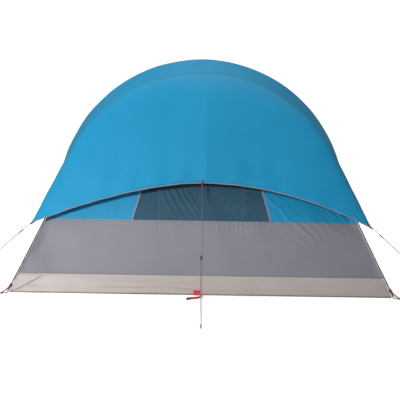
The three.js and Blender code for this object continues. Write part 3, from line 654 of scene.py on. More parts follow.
TUB_SLOPE = TUB_HEIGHT * SLOPE
BAND_SLOPE = BAND_HEIGHT * SLOPE
WINDOW_TOP_SLOPE = SIDE_WALL_HEIGHT * SLOPE
CROWN_SLOPE = END.centre + END.radius - POLE_TO_CLOTH - 0.004


def edge_fade(relief):
    """Holds the cloth flat where it is sewn to the hoop's edge."""
    def faded(x, slope):
        room = wall_edge(slope) - np.abs(x)
        return relief(x, slope) * smooth(0.0, 0.05, room)
    return faded


def rear_wall():
    relief = edge_fade(rear_relief)
    edge_left, edge_right = minus(wall_edge), wall_edge
    band = wall_grid(edge_left, edge_right, TUB_SLOPE + SEWN_GAP, BAND_SLOPE, 360, 64, -1, relief)
    sheet("rear_wall_grey_band", band, BAND, replaces=("rear_wall_lower_band",))

    left = wall_grid(edge_left, minus(window_half), BAND_SLOPE + SEWN_GAP, WINDOW_TOP_SLOPE,
                     90, 60, -1, relief)
    right = wall_grid(window_half, edge_right, BAND_SLOPE + SEWN_GAP, WINDOW_TOP_SLOPE, 90, 60, -1, relief)
    above = wall_grid(edge_left, edge_right, WINDOW_TOP_SLOPE, CROWN_SLOPE, 200, 50, -1, relief)
    make("rear_wall_blue_panel", [sheet_parts(p) for p in (left, right, above)], WALL,
         replaces=("rear_wall_upper_panel",))

    def sunk(x, slope):
        return window_relief(x, slope) - 0.003

    net = wall_grid(minus(window_half), window_half, BAND_SLOPE + SEWN_GAP, WINDOW_TOP_SLOPE,
                    220, 90, -1, sunk)
    sheet("rear_window_net", net, NET, thickness=NETTING, replaces=("rear_window_netting",))


def wall_strip(path, end, relief, width, thickness, lift):
    """A tape lying on an end wall along a path of (across, slope) points."""
    path = np.asarray(path, float)
    base, normal = wall_points(path[:, 0], path[:, 1], end)
    centre = base + normal * (relief(path[:, 0], path[:, 1]) + lift)[:, None]
    tangent = unit(np.gradient(centre, axis=0))
    across = np.cross(np.broadcast_to(normal, tangent.shape), tangent)
    return ribbon_parts(centre, across, width, thickness), centre, across, normal


def edge_stitches(strip, offset, lift):
    """A row of stitches along each edge of a tape on a wall."""
    _, centre, across, normal = strip
    return [stitch_parts(centre + across * shift + normal * lift, normal) for shift in (-offset, offset)]


def straight(a, b, count):
    t = np.linspace(0, 1, count)[:, None]
    return np.asarray(a, float) * (1 - t) + np.asarray(b, float) * t


def rear_trim():
    """Light tape round the window, seam tapes and their stitches on the rear wall."""
    relief = edge_fade(rear_relief)
    bindings, threads = [], []
    for side in (-1, 1):
        path = straight((side * (WINDOW_BOTTOM_HALF + 0.004), BAND_SLOPE - 0.004),
                        (side * (WINDOW_TOP_HALF + 0.004), WINDOW_TOP_SLOPE), 60)
        strip = wall_strip(path, -1, relief, 0.016, *WINDOW_TAPE)
        bindings.append(strip[0])
        threads += edge_stitches(strip, 0.0052, 0.0011)
    height = WINDOW_TOP_SLOPE + 0.004
    top = straight((-WINDOW_TOP_HALF, height), (WINDOW_TOP_HALF, height), 90)
    bindings.append(wall_strip(top, -1, relief, 0.019, *WINDOW_TAPE)[0])
    make("rear_window_binding", bindings, BINDING)
    half = wall_edge(BAND_SLOPE) - 0.004
    path = straight((-half, BAND_SLOPE + SEWN_GAP), (half, BAND_SLOPE + SEWN_GAP), 500)
    strip = wall_strip(path, -1, relief, *SEAM_TAPE)
    threads += edge_stitches(strip, 0.003, 0.0009)
    make("rear_wall_seam_tapes", strip[:1], SEAM)
    make("rear_wall_stitching", threads, THREAD)


def edge_flaps():
    """A flap along each wall's slanting edge, sewn on flat and lapped up against the pole."""
    parts = {"beige": [], "grey": [], "blue": []}
    threads = []
    spans = (("beige", 0.010, TUB_SLOPE, 14), ("grey", TUB_SLOPE, BAND_SLOPE, 50),
             ("blue", BAND_SLOPE, 1.62, 90))
    for end in (-1, 1):
        for side in (-1, 1):
            for colour, low, high, rows in spans:
                slope = np.linspace(low, high, rows)[:, None]
                outward = side * -end > 0
                t = np.linspace(0, 1, 7)[None, ::1 if outward else -1]
                reach = 0.0185 - 0.0024 * (slope < 0.095)
                across = side * (wall_edge(slope) - 0.008 + reach * t)
                slope = np.broadcast_to(slope, across.shape)
                base, normal = wall_points(across, slope, end)
                wave = 0.0008 * np.sin(slope * 60 + side) * t
                lift = 0.0012 + 0.0078 * smooth(0.25, 1.0, t) + wave
                parts[colour].append(sheet_parts(base + normal * lift[..., None]))
                seam = base[:, 1 if outward else -2] + normal * 0.0024
                threads.append(stitch_parts(seam, normal))
    for colour, mat in (("beige", TUB), ("grey", BAND), ("blue", WALL)):
        make(f"wall_edge_flaps_{colour}", parts[colour], mat)
    make("wall_edge_stitching", threads, THREAD)


# ---- Front wall and door -------------------------------------------------------------------------
ARCH_SLOPE = DOOR_TOP_HEIGHT * SLOPE - DOOR_HALF
SILL_SLOPE = DOOR_SILL_HEIGHT * SLOPE
OPENING = DOOR_HALF + 0.004


def front_relief(x, slope):
    z = slope / SLOPE
    relief = 0.0018 * ripples(x, slope, 31, 0.12, 0.5, 16)
    pucker = folds(slope, 0.05, 1.5, 1.5, x, slope, 32, 0.1, 0.4, 6)
    beside = np.exp(-(np.abs(np.abs(x) - OPENING - 0.03) / 0.05) ** 2) * (z < 0.95) * (z > 0.16)
    return relief + 0.0022 * pucker * beside


def arch(radius, count):
    angle = np.linspace(math.pi, 0, count)
    return np.stack([radius * np.cos(angle), ARCH_SLOPE + radius * np.sin(angle)], -1)


def door_outline(radius, low, count):
    """The door's arch of a radius on its straight sides, down to a sill."""
    return np.concatenate([straight((-radius, low), (-radius, ARCH_SLOPE), 60)[:-1], arch(radius, count),
                           straight((radius, ARCH_SLOPE), (radius, low), 60)[1:]])


def front_wall():
    relief = edge_fade(front_relief)
    edge_left, edge_right = minus(wall_edge), wall_edge

    def sill_right(s):
        return np.full_like(s, OPENING)

    sill_left = minus(sill_right)
    low = TUB_SLOPE + SEWN_GAP
    band = [wall_grid(edge_left, edge_right, low, SILL_SLOPE, 300, 9, 1, relief),
            wall_grid(edge_left, sill_left, SILL_SLOPE, BAND_SLOPE, 110, 50, 1, relief),
            wall_grid(sill_right, edge_right, SILL_SLOPE, BAND_SLOPE, 110, 50, 1, relief)]
    make("front_wall_grey_band", [sheet_parts(p) for p in band], BAND, replaces=("front_wall_lower_band",))

    upper = [wall_grid(edge_left, sill_left, BAND_SLOPE + SEWN_GAP, ARCH_SLOPE, 100, 40, 1, relief),
             wall_grid(sill_right, edge_right, BAND_SLOPE + SEWN_GAP, ARCH_SLOPE, 100, 40, 1, relief)]
    count = 220
    inner = arch(OPENING, count)
    radius = END.radius - POLE_TO_CLOTH - 0.003
    start = math.asin((ARCH_SLOPE - END.centre) / radius)
    angle = np.linspace(math.pi - start, start, count)
    outer = np.stack([radius * np.cos(angle), END.centre + radius * np.sin(angle)], -1)
    outer[0, 0], outer[-1, 0] = -wall_edge(ARCH_SLOPE), wall_edge(ARCH_SLOPE)
    t = np.linspace(0, 1, 60)[:, None, None]
    ring = inner[None] * (1 - t) + outer[None] * t
    base, normal = wall_points(ring[..., 0], ring[..., 1], 1)
    ring_points = base + normal * relief(ring[..., 0], ring[..., 1])[..., None]
    upper.append(ring_points[:, ::-1])
    make("front_wall_blue_panel", [sheet_parts(p) for p in upper], WALL,
         replaces=("front_wall_upper_panel",))


def door_flap():
    """The door's cloth, grey below and blue above, in one piece with a bound edge."""
    def relief(x, slope):
        room = np.minimum(DOOR_HALF - np.abs(x), slope - SILL_SLOPE)
        soft = 0.0022 * ripples(x, slope, 41, 0.12, 0.5, 16)
        sag = 0.004 * np.sin(math.pi * np.clip(x / DOOR_HALF * 0.5 + 0.5, 0, 1))
        return (soft - sag) * smooth(0.0, 0.05, room)

    def half(s):
        over = np.clip((s - ARCH_SLOPE) / DOOR_HALF, 0, 1)
        return DOOR_HALF * np.sqrt(np.maximum(1 - over ** 2, 1e-5))

    bottom = SILL_SLOPE + 0.004
    lower = wall_grid(minus(half), half, bottom, BAND_SLOPE, 120, 50, 1, relief)
    middle = wall_grid(minus(half), half, BAND_SLOPE + SEWN_GAP, ARCH_SLOPE, 120, 40, 1, relief)
    turn = np.sin(np.linspace(0, math.pi / 2, 40))[:, None]
    slope = ARCH_SLOPE + DOOR_HALF * turn * 0.9999
    t = np.linspace(-1, 1, 120)[None, :]
    across = half(slope) * t
    slope = np.broadcast_to(slope, across.shape)
    base, normal = wall_points(across, slope, 1)
    cap = (base + normal * relief(across, slope)[..., None])[:, ::-1]
    make("door_grey_lower", [sheet_parts(lower)], BAND, body="door_flap", replaces=("door_flap",))
    make("door_blue_upper", [sheet_parts(middle), sheet_parts(cap)], WALL, body="door_flap",
         replaces=("door_flap",))

    path = door_outline(DOOR_HALF, bottom + 0.01, 120)
    towards = np.stack([-np.sign(path[:, 0]), np.zeros(len(path))], -1)
    high = path[:, 1] > ARCH_SLOPE
    towards[high] = unit(np.array([0.0, ARCH_SLOPE]) - path[high])
    edge = wall_strip(path + towards * 0.008, 1, relief, 0.013, 0.0024, 0.0004)[0]
    make("door_edge_binding", [edge], BINDING, body="door_flap")
    seam = straight((-DOOR_HALF + 0.016, BAND_SLOPE), (DOOR_HALF - 0.016, BAND_SLOPE), 120)
    make("door_seam_tape", [wall_strip(seam, 1, relief, *SEAM_TAPE)[0]], SEAM, body="door_flap")


def door_zip():
    """Zip tape round the opening with its row of coil teeth."""
    radius = OPENING + 0.008
    path = door_outline(radius, SILL_SLOPE, 160)

    def flat(x, slope):
        return np.zeros_like(x)

    part, centre, _, normal = wall_strip(path, 1, flat, 0.014, 0.0018, 0.0014)
    make("door_zip_tape", [part], BLACK_WEB, replaces=("door_zip_track",))
    dense = resample(centre, 0.0034)
    tangent = unit(np.gradient(dense, axis=0))
    side = np.cross(np.broadcast_to(normal, tangent.shape), tangent)
    zigzag = np.where(np.arange(len(dense)) % 2 == 0, 1.0, -1.0)[:, None]
    coil = dense + side * zigzag * 0.0021 + normal * 0.0012
    make("door_zip_coil", [tube_parts(coil, 0.0007, sides=5)], ZIP)
    tapes = []
    for side_of in (-1, 1):
        path = straight((side_of * (OPENING + 0.018), BAND_SLOPE),
                        (side_of * (wall_edge(BAND_SLOPE) - 0.004), BAND_SLOPE), 200)
        tapes.append(wall_strip(path, 1, edge_fade(front_relief), *SEAM_TAPE)[0])
    make("front_wall_seam_tapes", tapes, SEAM)


# ---- Side walls, roof and groundsheet ------------------------------------------------------------
def side_point(side, along, height):
    """A point on a side wall's outer face; along runs -1 to 1 from the rear hoop to the front hoop."""
    from_main = np.abs(along)
    end_width = END.half_width(height * SLOPE)
    main_width = MAIN.half_width(height)
    x = main_width + (end_width - main_width) * from_main - POLE_TO_CLOTH
    y = along * (length_at(height) - POLE_TO_CLOTH - 0.006)
    return np.stack(np.broadcast_arrays(side * x, y, height), -1)


def side_walls():
    for label, side, seed in (("left", -1, 51), ("right", 1, 61)):
        for low, high, rows, what, mat, node in (
                (TUB_HEIGHT + SEWN_GAP, BAND_HEIGHT, 60, "grey_band", BAND, "wall_lower_band"),
                (BAND_HEIGHT + SEWN_GAP, SIDE_WALL_HEIGHT, 70, "blue_panel", WALL, "wall_upper_panel")):
            along = side * np.linspace(-1, 1, 241)[None, :]
            height = np.linspace(low, high, rows)[:, None]
            points = side_point(side, along, height)
            run = points[..., 1]
            up = points[..., 2]
            hold = smooth(0.0, 0.08, 1 - np.abs(along)) * smooth(0.0, 0.04, np.abs(along))
            belly = np.sin(math.pi * np.abs(along)) * np.sin(math.pi * np.clip(up / 1.15, 0, 1))
            relief = 0.0022 * ripples(run, up, seed, 0.12, 0.5, 16) - 0.012 * belly
            slant = fold(2 * math.pi * (run * 0.6 + up * 0.8 * np.sign(run)) / 0.09
                         + 1.4 * ripples(run, up, seed + 1, 0.2, 0.6, 6), 1.6)
            relief = relief + 0.0026 * slant * np.exp(-((np.abs(along) - 0.82) / 0.14) ** 2)
            sheet(f"{label}_wall_{what}", points, mat, displacement=relief * hold,
                  replaces=(f"{label}_{node}",))
        along = side * np.linspace(-0.985, 0.985, 240)
        centre = side_point(side, along, np.full(240, BAND_HEIGHT + 0.0005))
        out = unit(np.array([side * 1.0, 0.0, 0.35]))
        make(f"{label}_wall_seam_tape", [ribbon_parts(centre + out * 0.001, UP, *SEAM_TAPE[:2])], SEAM)
        stitches = stitch_parts(centre + out * 0.0022 + UP * 0.003, out)
        make(f"{label}_wall_stitching", [stitches], THREAD)


def roof_net():
    start = SIDE_WALL_HEIGHT + SEWN_GAP
    across = np.linspace(-1, 1, 161)[None, :]
    along = np.linspace(-1, 1, 61)[:, None]
    ex, eu = END.point(across * END.length_to(start * SLOPE), -POLE_TO_CLOTH)
    end = on_end(ex, eu)
    end[..., 1] += 0.012
    mx, mu = MAIN.point(across * MAIN.length_to(start), -POLE_TO_CLOTH)
    middle = np.stack([mx, np.zeros_like(mx), mu], -1)
    t = np.abs(along)[..., None]
    points = middle * (1 - t) + end * t
    points[..., 1] *= -np.sign(along)
    uneven = ripples(points[..., 0], points[..., 1], 71, 0.15, 0.5)
    sag = -0.01 * np.sin(math.pi * np.abs(along)) + 0.002 * uneven
    sheet("roof_netting_panel", points, ROOF_NET, displacement=sag, thickness=NETTING,
          replaces=("roof_netting",))


def tub_outline(height, inset, count):
    """The groundsheet's outline at a height, with the same number of points on each side."""
    end_width = float(END.half_width(height * SLOPE)) - inset
    main_width = float(MAIN.half_width(height)) - inset
    length = length_at(height) - inset
    corners = [(-end_width, -length), (end_width, -length), (main_width, 0.0),
               (end_width, length), (-end_width, length), (-main_width, 0.0)]
    share = [count, count // 2, count // 2, count, count // 2, count // 2]
    ring = []
    for i, amount in enumerate(share):
        a, b = np.array(corners[i]), np.array(corners[(i + 1) % 6])
        for k in range(amount):
            ring.append(a + (b - a) * k / amount)
    return np.array(ring)


def groundsheet():
    """A tub of stiff coated sheet: low wavy sides, dragged creases at the corners, flat floor."""
    count = 480
    heights = np.concatenate([[0.0, 0.003, 0.008], np.linspace(0.014, TUB_HEIGHT, 34)])
    rows = []
    for height in heights:
        ring = tub_outline(height, POLE_TO_CLOTH, count)
        out = unit(np.roll(ring, -1, 0) - np.roll(ring, 1, 0))
        out = np.stack([out[:, 1], -out[:, 0]], -1)
        x, y = ring[:, 0], ring[:, 1]
        end_side = np.abs(y) > length_at(height) - POLE_TO_CLOTH - 1e-6
        run = np.where(end_side, x, y + 5.0)
        level = height / TUB_HEIGHT
        level_run = np.full_like(run, height)
        wave = 0.0022 * ripples(run * 0.55, level_run * 2.4, 81, 0.10, 0.36, 14)
        wander = 2.6 * ripples(run, level_run * 3, 82, 0.25, 1.0, 8)
        lines = fold(2 * math.pi * height / 0.054 + wander, 1.5)
        wave = wave + 0.0060 * lines * np.clip(0.5 + 0.7 * ripples(run, run * 0, 83, 0.2, 0.8, 6), 0, 1.1)
        crease = np.zeros_like(run)
        for sx, reach, amount in ((-1, 0.27, 1.0), (1, 0.2, 0.35)):
            for sy in (-1, 1):
                past = level * reach - ((HALF_WIDTH - 0.03) - sx * x)
                lap = smooth(-0.006, 0.005, past) * np.exp(-np.maximum(past, 0) / 0.08)
                groove = np.exp(-((past + 0.010) / 0.007) ** 2)
                crease += np.where(np.sign(y) == sy, amount * (lap - 0.7 * groove), 0) * end_side
        wave = wave + 0.0075 * crease * smooth(0.03, 0.2, level)
        belly = 0.006 * math.sin(math.pi * min(level, 1)) ** 0.8
        hold = min(1.0, (1 - level) * 6) if level > 0.8 else 1.0
        shift = (wave + belly * 0.6) * hold * smooth(0.0, 0.12, level)
        shift = np.clip(shift, -0.006, 0.010)
        moved = ring + out * np.asarray(shift)[:, None]
        rows.append(np.concatenate([moved, np.full((len(ring), 1), height)], 1))
    outer = np.array(rows)
    inner = []
    for k in range(len(heights) - 1, 0, -1):
        ring = outer[k].copy()
        ring[:, :2] += (tub_outline(heights[k], POLE_TO_CLOTH + TUB_SHEET, count)
                        - tub_outline(heights[k], POLE_TO_CLOTH, count))
        ring[:, 2] = max(heights[k], 0.003)
        inner.append(ring)
    skin = np.concatenate([outer, np.array(inner)])
    total, around = skin.shape[:2]
    verts = skin.reshape(-1, 3)
    ring_length = lengths_along(outer[0])
    up = np.concatenate([heights, heights[-1] + 0.01 + (heights[-1] - heights[:0:-1])])
    uv = np.stack(np.broadcast_arrays(ring_length[None, :], up[:, None]), -1).reshape(-1, 2)
    make("groundsheet_tub_cloth", [(verts, skin_faces(total, around), uv)], TUB,
         replaces=("groundsheet_tub",))

    ring = tub_outline(TUB_HEIGHT, POLE_TO_CLOTH - 0.0008, count)
    path = np.concatenate([ring, np.full((len(ring), 1), TUB_HEIGHT)], 1)
    tangent = unit(np.roll(path, -1, 0) - np.roll(path, 1, 0))
    out = unit(np.stack([tangent[:, 1], -tangent[:, 0], np.full(len(path), 0.4)], -1))
    seam = tube_parts(path, 0.0045, sides=8, squash=(0.30, 1.0), side_hint=out, closed=True)
    make("groundsheet_top_seam", [seam], TUB_SEAM)
    stitches = stitch_parts(wrap(path) + wrap(out) * 0.0015 - UP * 0.004, wrap(out))
    make("groundsheet_stitching", [stitches], THREAD)


# ---- Fly -----------------------------------------------------------------------------------------
# Each hem's distance from the middle and height at its top, and the power of its fall to the corners.
REAR_HEM = (0.870, 0.890, 1.85)
FRONT_HEM = (0.630, 1.450, 1.85)
# The rear hem falls later on one side than on the other.
REAR_HEM_SKEW = 0.17


def hem_point(hem, across, end):
    power = hem[2] + (REAR_HEM_SKEW * np.sign(across) if end < 0 else 0.0)
    fall = np.abs(across) ** power
    y = hem[0] + (1.0 - hem[0]) * fall
    return np.stack([FLY_CORNER[0] * across, end * y, hem[1] + (FLY_CORNER[2] - hem[1]) * fall], -1)


def fly_over_end(across, end):
    reach = END.length_to((FLY_CORNER[2] - 0.012) * SLOPE)
    stand_off = POLE_TO_FLY + 0.068 * np.abs(across) ** 1.7
    x, up = END.point(across * reach, stand_off)
    p = on_end(x, up)
    proud = POLE_TO_FLY * (1 - across ** 4)
    p[..., 1] -= proud * math.cos(END_LEAN)
    p[..., 2] += proud * math.sin(END_LEAN)
    p[..., 1] *= -end
    return p


def spline(stations, v):
    """A centripetal Catmull-Rom curve through the stations, evenly spaced in v."""
    points = [2 * stations[0] - stations[1], *stations, 2 * stations[-1] - stations[-2]]
    place = v * (len(stations) - 1)
    i = min(int(place), len(stations) - 2)
    t = place - i
    p0, p1, p2, p3 = points[i:i + 4]

    def gap(a, b):
        return np.maximum(np.linalg.norm(b - a, axis=-1, keepdims=True) ** 0.5, 1e-4)
    d0, d1, d2 = gap(p0, p1), gap(p1, p2), gap(p2, p3)
    t1 = ((p1 - p0) / d0 - (p2 - p0) / (d0 + d1) + (p2 - p1) / d1) * d1
    t2 = ((p2 - p1) / d1 - (p3 - p1) / (d1 + d2) + (p3 - p2) / d2) * d1
    c2 = -3 * p1 + 3 * p2 - 2 * t1 - t2
    c3 = 2 * p1 - 2 * p2 + t1 + t2
    return p1 + t1 * t + c2 * t ** 2 + c3 * t ** 3


# Where the fly stands clear of the line between two hoops, as shares of the way to the next hoop.
TAUT_REAR = (0.32, 0.6, 0.86)
TAUT_FRONT = (0.14, 0.4, 0.68)


def fly_grid(across, values):
    side_reach = MAIN.length_to(0.6)
    mx, mu = MAIN.point(across * side_reach, POLE_TO_FLY)
    over_main = np.stack([mx, np.zeros_like(mx), mu], -1)
    over_rear, over_front = fly_over_end(across, -1), fly_over_end(across, 1)

    def taut(a, b, shares):
        return [a + (b - a) * share for share in shares]
    stations = [hem_point(REAR_HEM, across, -1), over_rear, *taut(over_rear, over_main, TAUT_REAR),
                over_main, *taut(over_main, over_front, TAUT_FRONT), over_front,
                hem_point(FRONT_HEM, across, 1)]
    return np.array([spline(stations, v) for v in values])


def fly():
    across = np.linspace(-1, 1, 321)
    hem_part = np.linspace(0, 0.1, 31)
    values = np.concatenate([hem_part[:-1], np.linspace(0.1, 0.9, 129)[:-1], 1 - hem_part[::-1]])
    points = fly_grid(across, values)
    relief = np.zeros(points.shape[:2])
    for sx in (-1, 1):
        for sy in (-1, 1):
            corner = FLY_CORNER * np.array([sx, -sy, 1])
            towards = np.array([-sx * 0.45, -sy * 0.5, 1.0])
            normal = np.array([sx * 0.7, sy * 0.6, 0.3])
            relief += 0.0045 * fan(points, corner, towards, unit(normal), 30, 0.55, 0.34, 91 + sx + 2 * sy)
    relief += 0.004 * fan(points, (0, -0.87, 0.89), (0, 0.4, 1.0), (0, -1.0, 0.3), 18, 0.9, 0.16, 97)
    ridge = 0.005 * np.exp(-np.sqrt((points[..., 0] - 0.03) ** 2 + 0.0001) / 0.05)
    ridge = ridge + 0.026 * np.exp(-((points[..., 0] - 0.06) / 0.30) ** 2)
    relief += ridge * between((0.0, 0.012), (0.06, 0.1), values)[:, None]
    relief += 0.0016 * ripples(points[..., 0], points[..., 2] + points[..., 1], 95, 0.25, 0.8, 12)
    v = values[:, None]
    hem_wave = np.exp(-(v / 0.03) ** 2) + np.exp(-((1 - v) / 0.03) ** 2)
    relief += 0.0022 * hem_wave * np.sin(2 * math.pi * points[..., 0] / 0.23)
    for place, height in ((0.1, 0.0008), (0.5, 0.0030), (0.9, 0.0012)):
        top = np.exp(-((v - place) / 0.009) ** 2) * (1 - smooth(0.55, 0.8, np.abs(across)[None, :]))
        relief += height * top
    sheet("fly_sheet_cloth", points, FLY, displacement=relief, thickness=0.0013, replaces=("fly_sheet",))
    return points + grid_normals(points) * relief[..., None]


def fly_trim(points):
    """Binding folded over the hem, its stitches, and box-stitched webbing loops at the corners."""
    normals = grid_normals(points)
    inset = 3
    loop, facing = rim(points), rim(normals)
    inward = unit(rim(points, inset) - loop)
    path = loop - facing * 0.0006 + inward * 0.0010
    tape = tube_parts(path, 0.0050, sides=12, squash=(1.0, 0.42), side_hint=inward, closed=True)
    make("fly_hem_tape", [tape], BINDING, replaces=("fly_hem_binding",))
    rows = [stitch_parts(wrap(path + inward * shift + facing * 0.0022), wrap(facing))
            for shift in (0.0026, -0.0016)]
    make("fly_hem_stitching", rows, THREAD)

    threads, webs = [], []
    lap_length = 0.055
    fold_back = 0.0045
    for column in (0, -1):
        for row in (0, -1):
            corner, face = points[row, column], normals[row, column]
            inwards = unit(np.array([0.0, 0.0, 1.6]) - corner)
            out = -unit(inwards - face * (inwards @ face))
            start = corner - out * lap_length + face * 0.003
            lap = start + out * np.linspace(0, 1, 14)[:, None] * lap_length
            turn = np.linspace(0, math.pi, 12)[:, None]
            bend = (corner + face * 0.003 + out * (0.018 * np.sin(turn))
                    - face * (fold_back * (1 - np.cos(turn))))
            back = bend[-1] - out * np.linspace(0.002, 0.05, 10)[:, None]
            side = np.cross(out, face)
            webs.append(ribbon_parts(np.concatenate([lap, bend[1:], back]), side, 0.018, 0.0018))
            box = [start + out * a + side * b + face * 0.0012
                   for a, b in ((0.006, -0.006), (0.045, -0.006), (0.045, 0.006), (0.006, 0.006),
                                (0.006, -0.006), (0.045, 0.006))]
            threads.append(stitch_parts(np.array(box), face, pitch=0.004, length=0.003))
    make("fly_corner_loops", webs, DARK_RED)
    make("fly_corner_stitching", threads, THREAD)


# ---- Guylines ------------------------------------------------------------------------------------
PEG_RADIUS = 0.0025
PEG_LENGTH = 0.180
HOOK_RADIUS = 0.007
RUNNER_HALF = 0.021


def guyline_places():
    """Each guyline's top, its foot and the share of its length at which its runner sits."""
    places = {"rear_centre": (np.array([0, -0.900, 0.830]), np.array([0, -2.250, 0.012]), 0.55)}
    for label, x, y in CORNERS:
        foot = (1.990, -1.350) if y < 0 else (1.800, 1.460)
        places[label] = (np.array([x * 1.434, y * 1.012, 0.529]),
                         np.array([x * foot[0], foot[1], 0.012]), 0.09)
    return places


def guylines():
    for label, (top, foot, share) in guyline_places().items():
        down = unit(foot - top)
        aside = unit(np.array([-down[1], down[0], 0.0]))
        length = float(np.linalg.norm(foot - top))
        runner = share * length
        half = 0.005

        def at(distance, offset, down=down, aside=aside, top=top):
            distance = np.asarray(distance, float)[..., None]
            offset = np.asarray(offset, float)[..., None]
            return top + down * distance + aside * offset

        squeeze = np.clip(np.linspace(0, 1, 60) * 12, 0, 1)
        first = at(np.linspace(-0.004, length, 60), half * squeeze)
        angle = np.linspace(0, math.pi, 14)[1:-1]
        bend = at(length + half * np.sin(angle), half * np.cos(angle))
        second = at(np.linspace(length, runner - RUNNER_HALF - 0.006, 60), np.full(60, -half))
        path = np.concatenate([first, bend, second])
        turn = np.linspace(0, 2 * math.pi * 2.5, 44)
        normal = np.cross(down, aside)
        knot = (at(0.010 + turn * 0.0009, half * 0.55 + 0.0030 * np.cos(turn))
                + normal * (0.0030 * np.sin(turn))[:, None])
        parts = [tube_parts(path, CORD_RADIUS, sides=10), tube_parts(knot, CORD_RADIUS, sides=8)]
        make(f"guyline_cord_{label}", parts, CORD, replaces=(f"guyline_{label}",))


def peg_path(through, axis, head_room, hook_out):
    """The bent wire of a hooked peg, from its point to the end of its hook."""
    axis = unit(axis)
    level = np.array([hook_out[0], hook_out[1], 0.0])
    sideways = unit(np.cross(axis, level))
    forward = np.cross(sideways, axis)
    shaft = [through + axis * s for s in np.linspace(head_room - PEG_LENGTH, head_room, 30)]
    bend = [through + axis * (head_room + HOOK_RADIUS * math.sin(a))
            + forward * (HOOK_RADIUS - HOOK_RADIUS * math.cos(a)) for a in np.linspace(0, math.pi, 16)[1:]]
    tail = [through + axis * (head_room - s) + forward * 2 * HOOK_RADIUS for s in (0.002, 0.005, 0.008)]
    return np.array(shaft + bend + tail)


def pegs():
    for label, (top, foot, _) in guyline_places().items():
        down = unit(foot - top)
        away = unit(np.array([down[0], down[1], 0.0]))
        lean = math.radians(25)
        axis = away * math.sin(lean) + UP * math.cos(lean)
        make_peg(f"guyline_peg_{label}", peg_path(foot, axis, 0.022, away))
    reach = 0.070 * math.sqrt(0.5)
    for label, x, y in CORNERS:
        through = np.array([x * (HALF_WIDTH + reach), y * (HALF_LENGTH + reach), 0.003])
        make_peg(f"{label}_corner_peg", peg_path(through, UP, 0.014, RIGHT * x))


def make_peg(node, path):
    radius = np.full(len(path), PEG_RADIUS)
    radius[0], radius[1], radius[2] = 0.0004, 0.0014, 0.0024
    path[1] = path[0] + (path[3] - path[0]) * 0.33
    path[2] = path[0] + (path[3] - path[0]) * 0.66
    radius[-1] = 0.0018
    make(f"{node}_wire", [tube_parts(path, radius, sides=14)], STEEL, body=node, replaces=(node,))


# ---- Webbing -------------------------------------------------------------------------------------
def anchor_strap(label, x, y):
    """A folded strap under a pole foot with a sewn eye for the peg."""
    direction = unit(np.array([np.sign(x), np.sign(y), 0.0]))
    foot = np.array([x, y, 0.0])
    side = np.array([-direction[1], direction[0], 0.0])
    parts = []
    out = np.linspace(-0.006, 0.052, 20)[:, None]
    wave = 0.0006 * np.sin(out * 260)
    parts.append(ribbon_parts(foot + direction * out + UP * (0.0022 + wave), side, 0.026, 0.0016))
    for shift in (-1, 1):
        t = np.linspace(0, 1, 18)
        eye = (foot + direction * (0.050 + 0.040 * t)[:, None]
               + side * (shift * (0.0095 * np.sqrt(np.maximum(1 - (2 * t - 1) ** 4, 0.0))))[:, None]
               + UP * 0.0024)
        parts.append(ribbon_parts(eye, side, 0.005, 0.0018))
    make(f"{label}_anchor_webbing", parts, DARK_RED, replaces=(f"{label}_anchor_strap",))


def rising_strap(label, x, y):
    """The red strap that runs from the anchor's eye up to the pole foot and wraps round the pole."""
    outward = unit(np.array([np.sign(x), np.sign(y), 0.0]))
    side = np.array([-outward[1], outward[0], 0.0])
    foot = np.array([x, y, 0.0])
    leg = np.array([-np.sign(x) * math.cos(END.leg_angle),
                    -np.sign(y) * math.sin(END.leg_angle) * math.sin(END_LEAN),
                    math.sin(END.leg_angle) * math.cos(END_LEAN)])
    clear = POLE_RADIUS + 0.0026
    low = foot + outward * 0.058 + UP * 0.0058
    high = foot + leg * 0.050 + outward * clear
    top = foot + leg * 0.084 + outward * clear
    t = np.linspace(0, 1, 16)[:, None]
    rise = low + (high - low) * t - UP * 0.004 * np.sin(math.pi * t)
    path = np.concatenate([rise, high + (top - high) * t[1:8] * 2.2])
    parts = [ribbon_parts(path, side, 0.022, 0.0018)]
    turn = np.linspace(0, 2 * math.pi, 25)[:-1]
    first = unit(outward - leg * (outward @ leg))
    second = np.cross(leg, first)
    ring = (foot + leg * 0.066 + first * (clear * np.cos(turn))[:, None]
            + second * (clear * np.sin(turn))[:, None])
    parts.append(tube_parts(ring, 0.014, sides=10, squash=(1.0, 0.075), side_hint=leg, closed=True))
    make(f"{label}_pole_strap", parts, DARK_RED)


def webbing():
    for label, x, y in CORNERS:
        anchor_strap(label, x * HALF_WIDTH, y * HALF_LENGTH)
        rising_strap(label, x * HALF_WIDTH, y * HALF_LENGTH)
    for side, x in SIDES:
        anchor_strap(f"{side}_middle", x * HALF_WIDTH, 0.0)
    ground_loop()
    hem_tab()


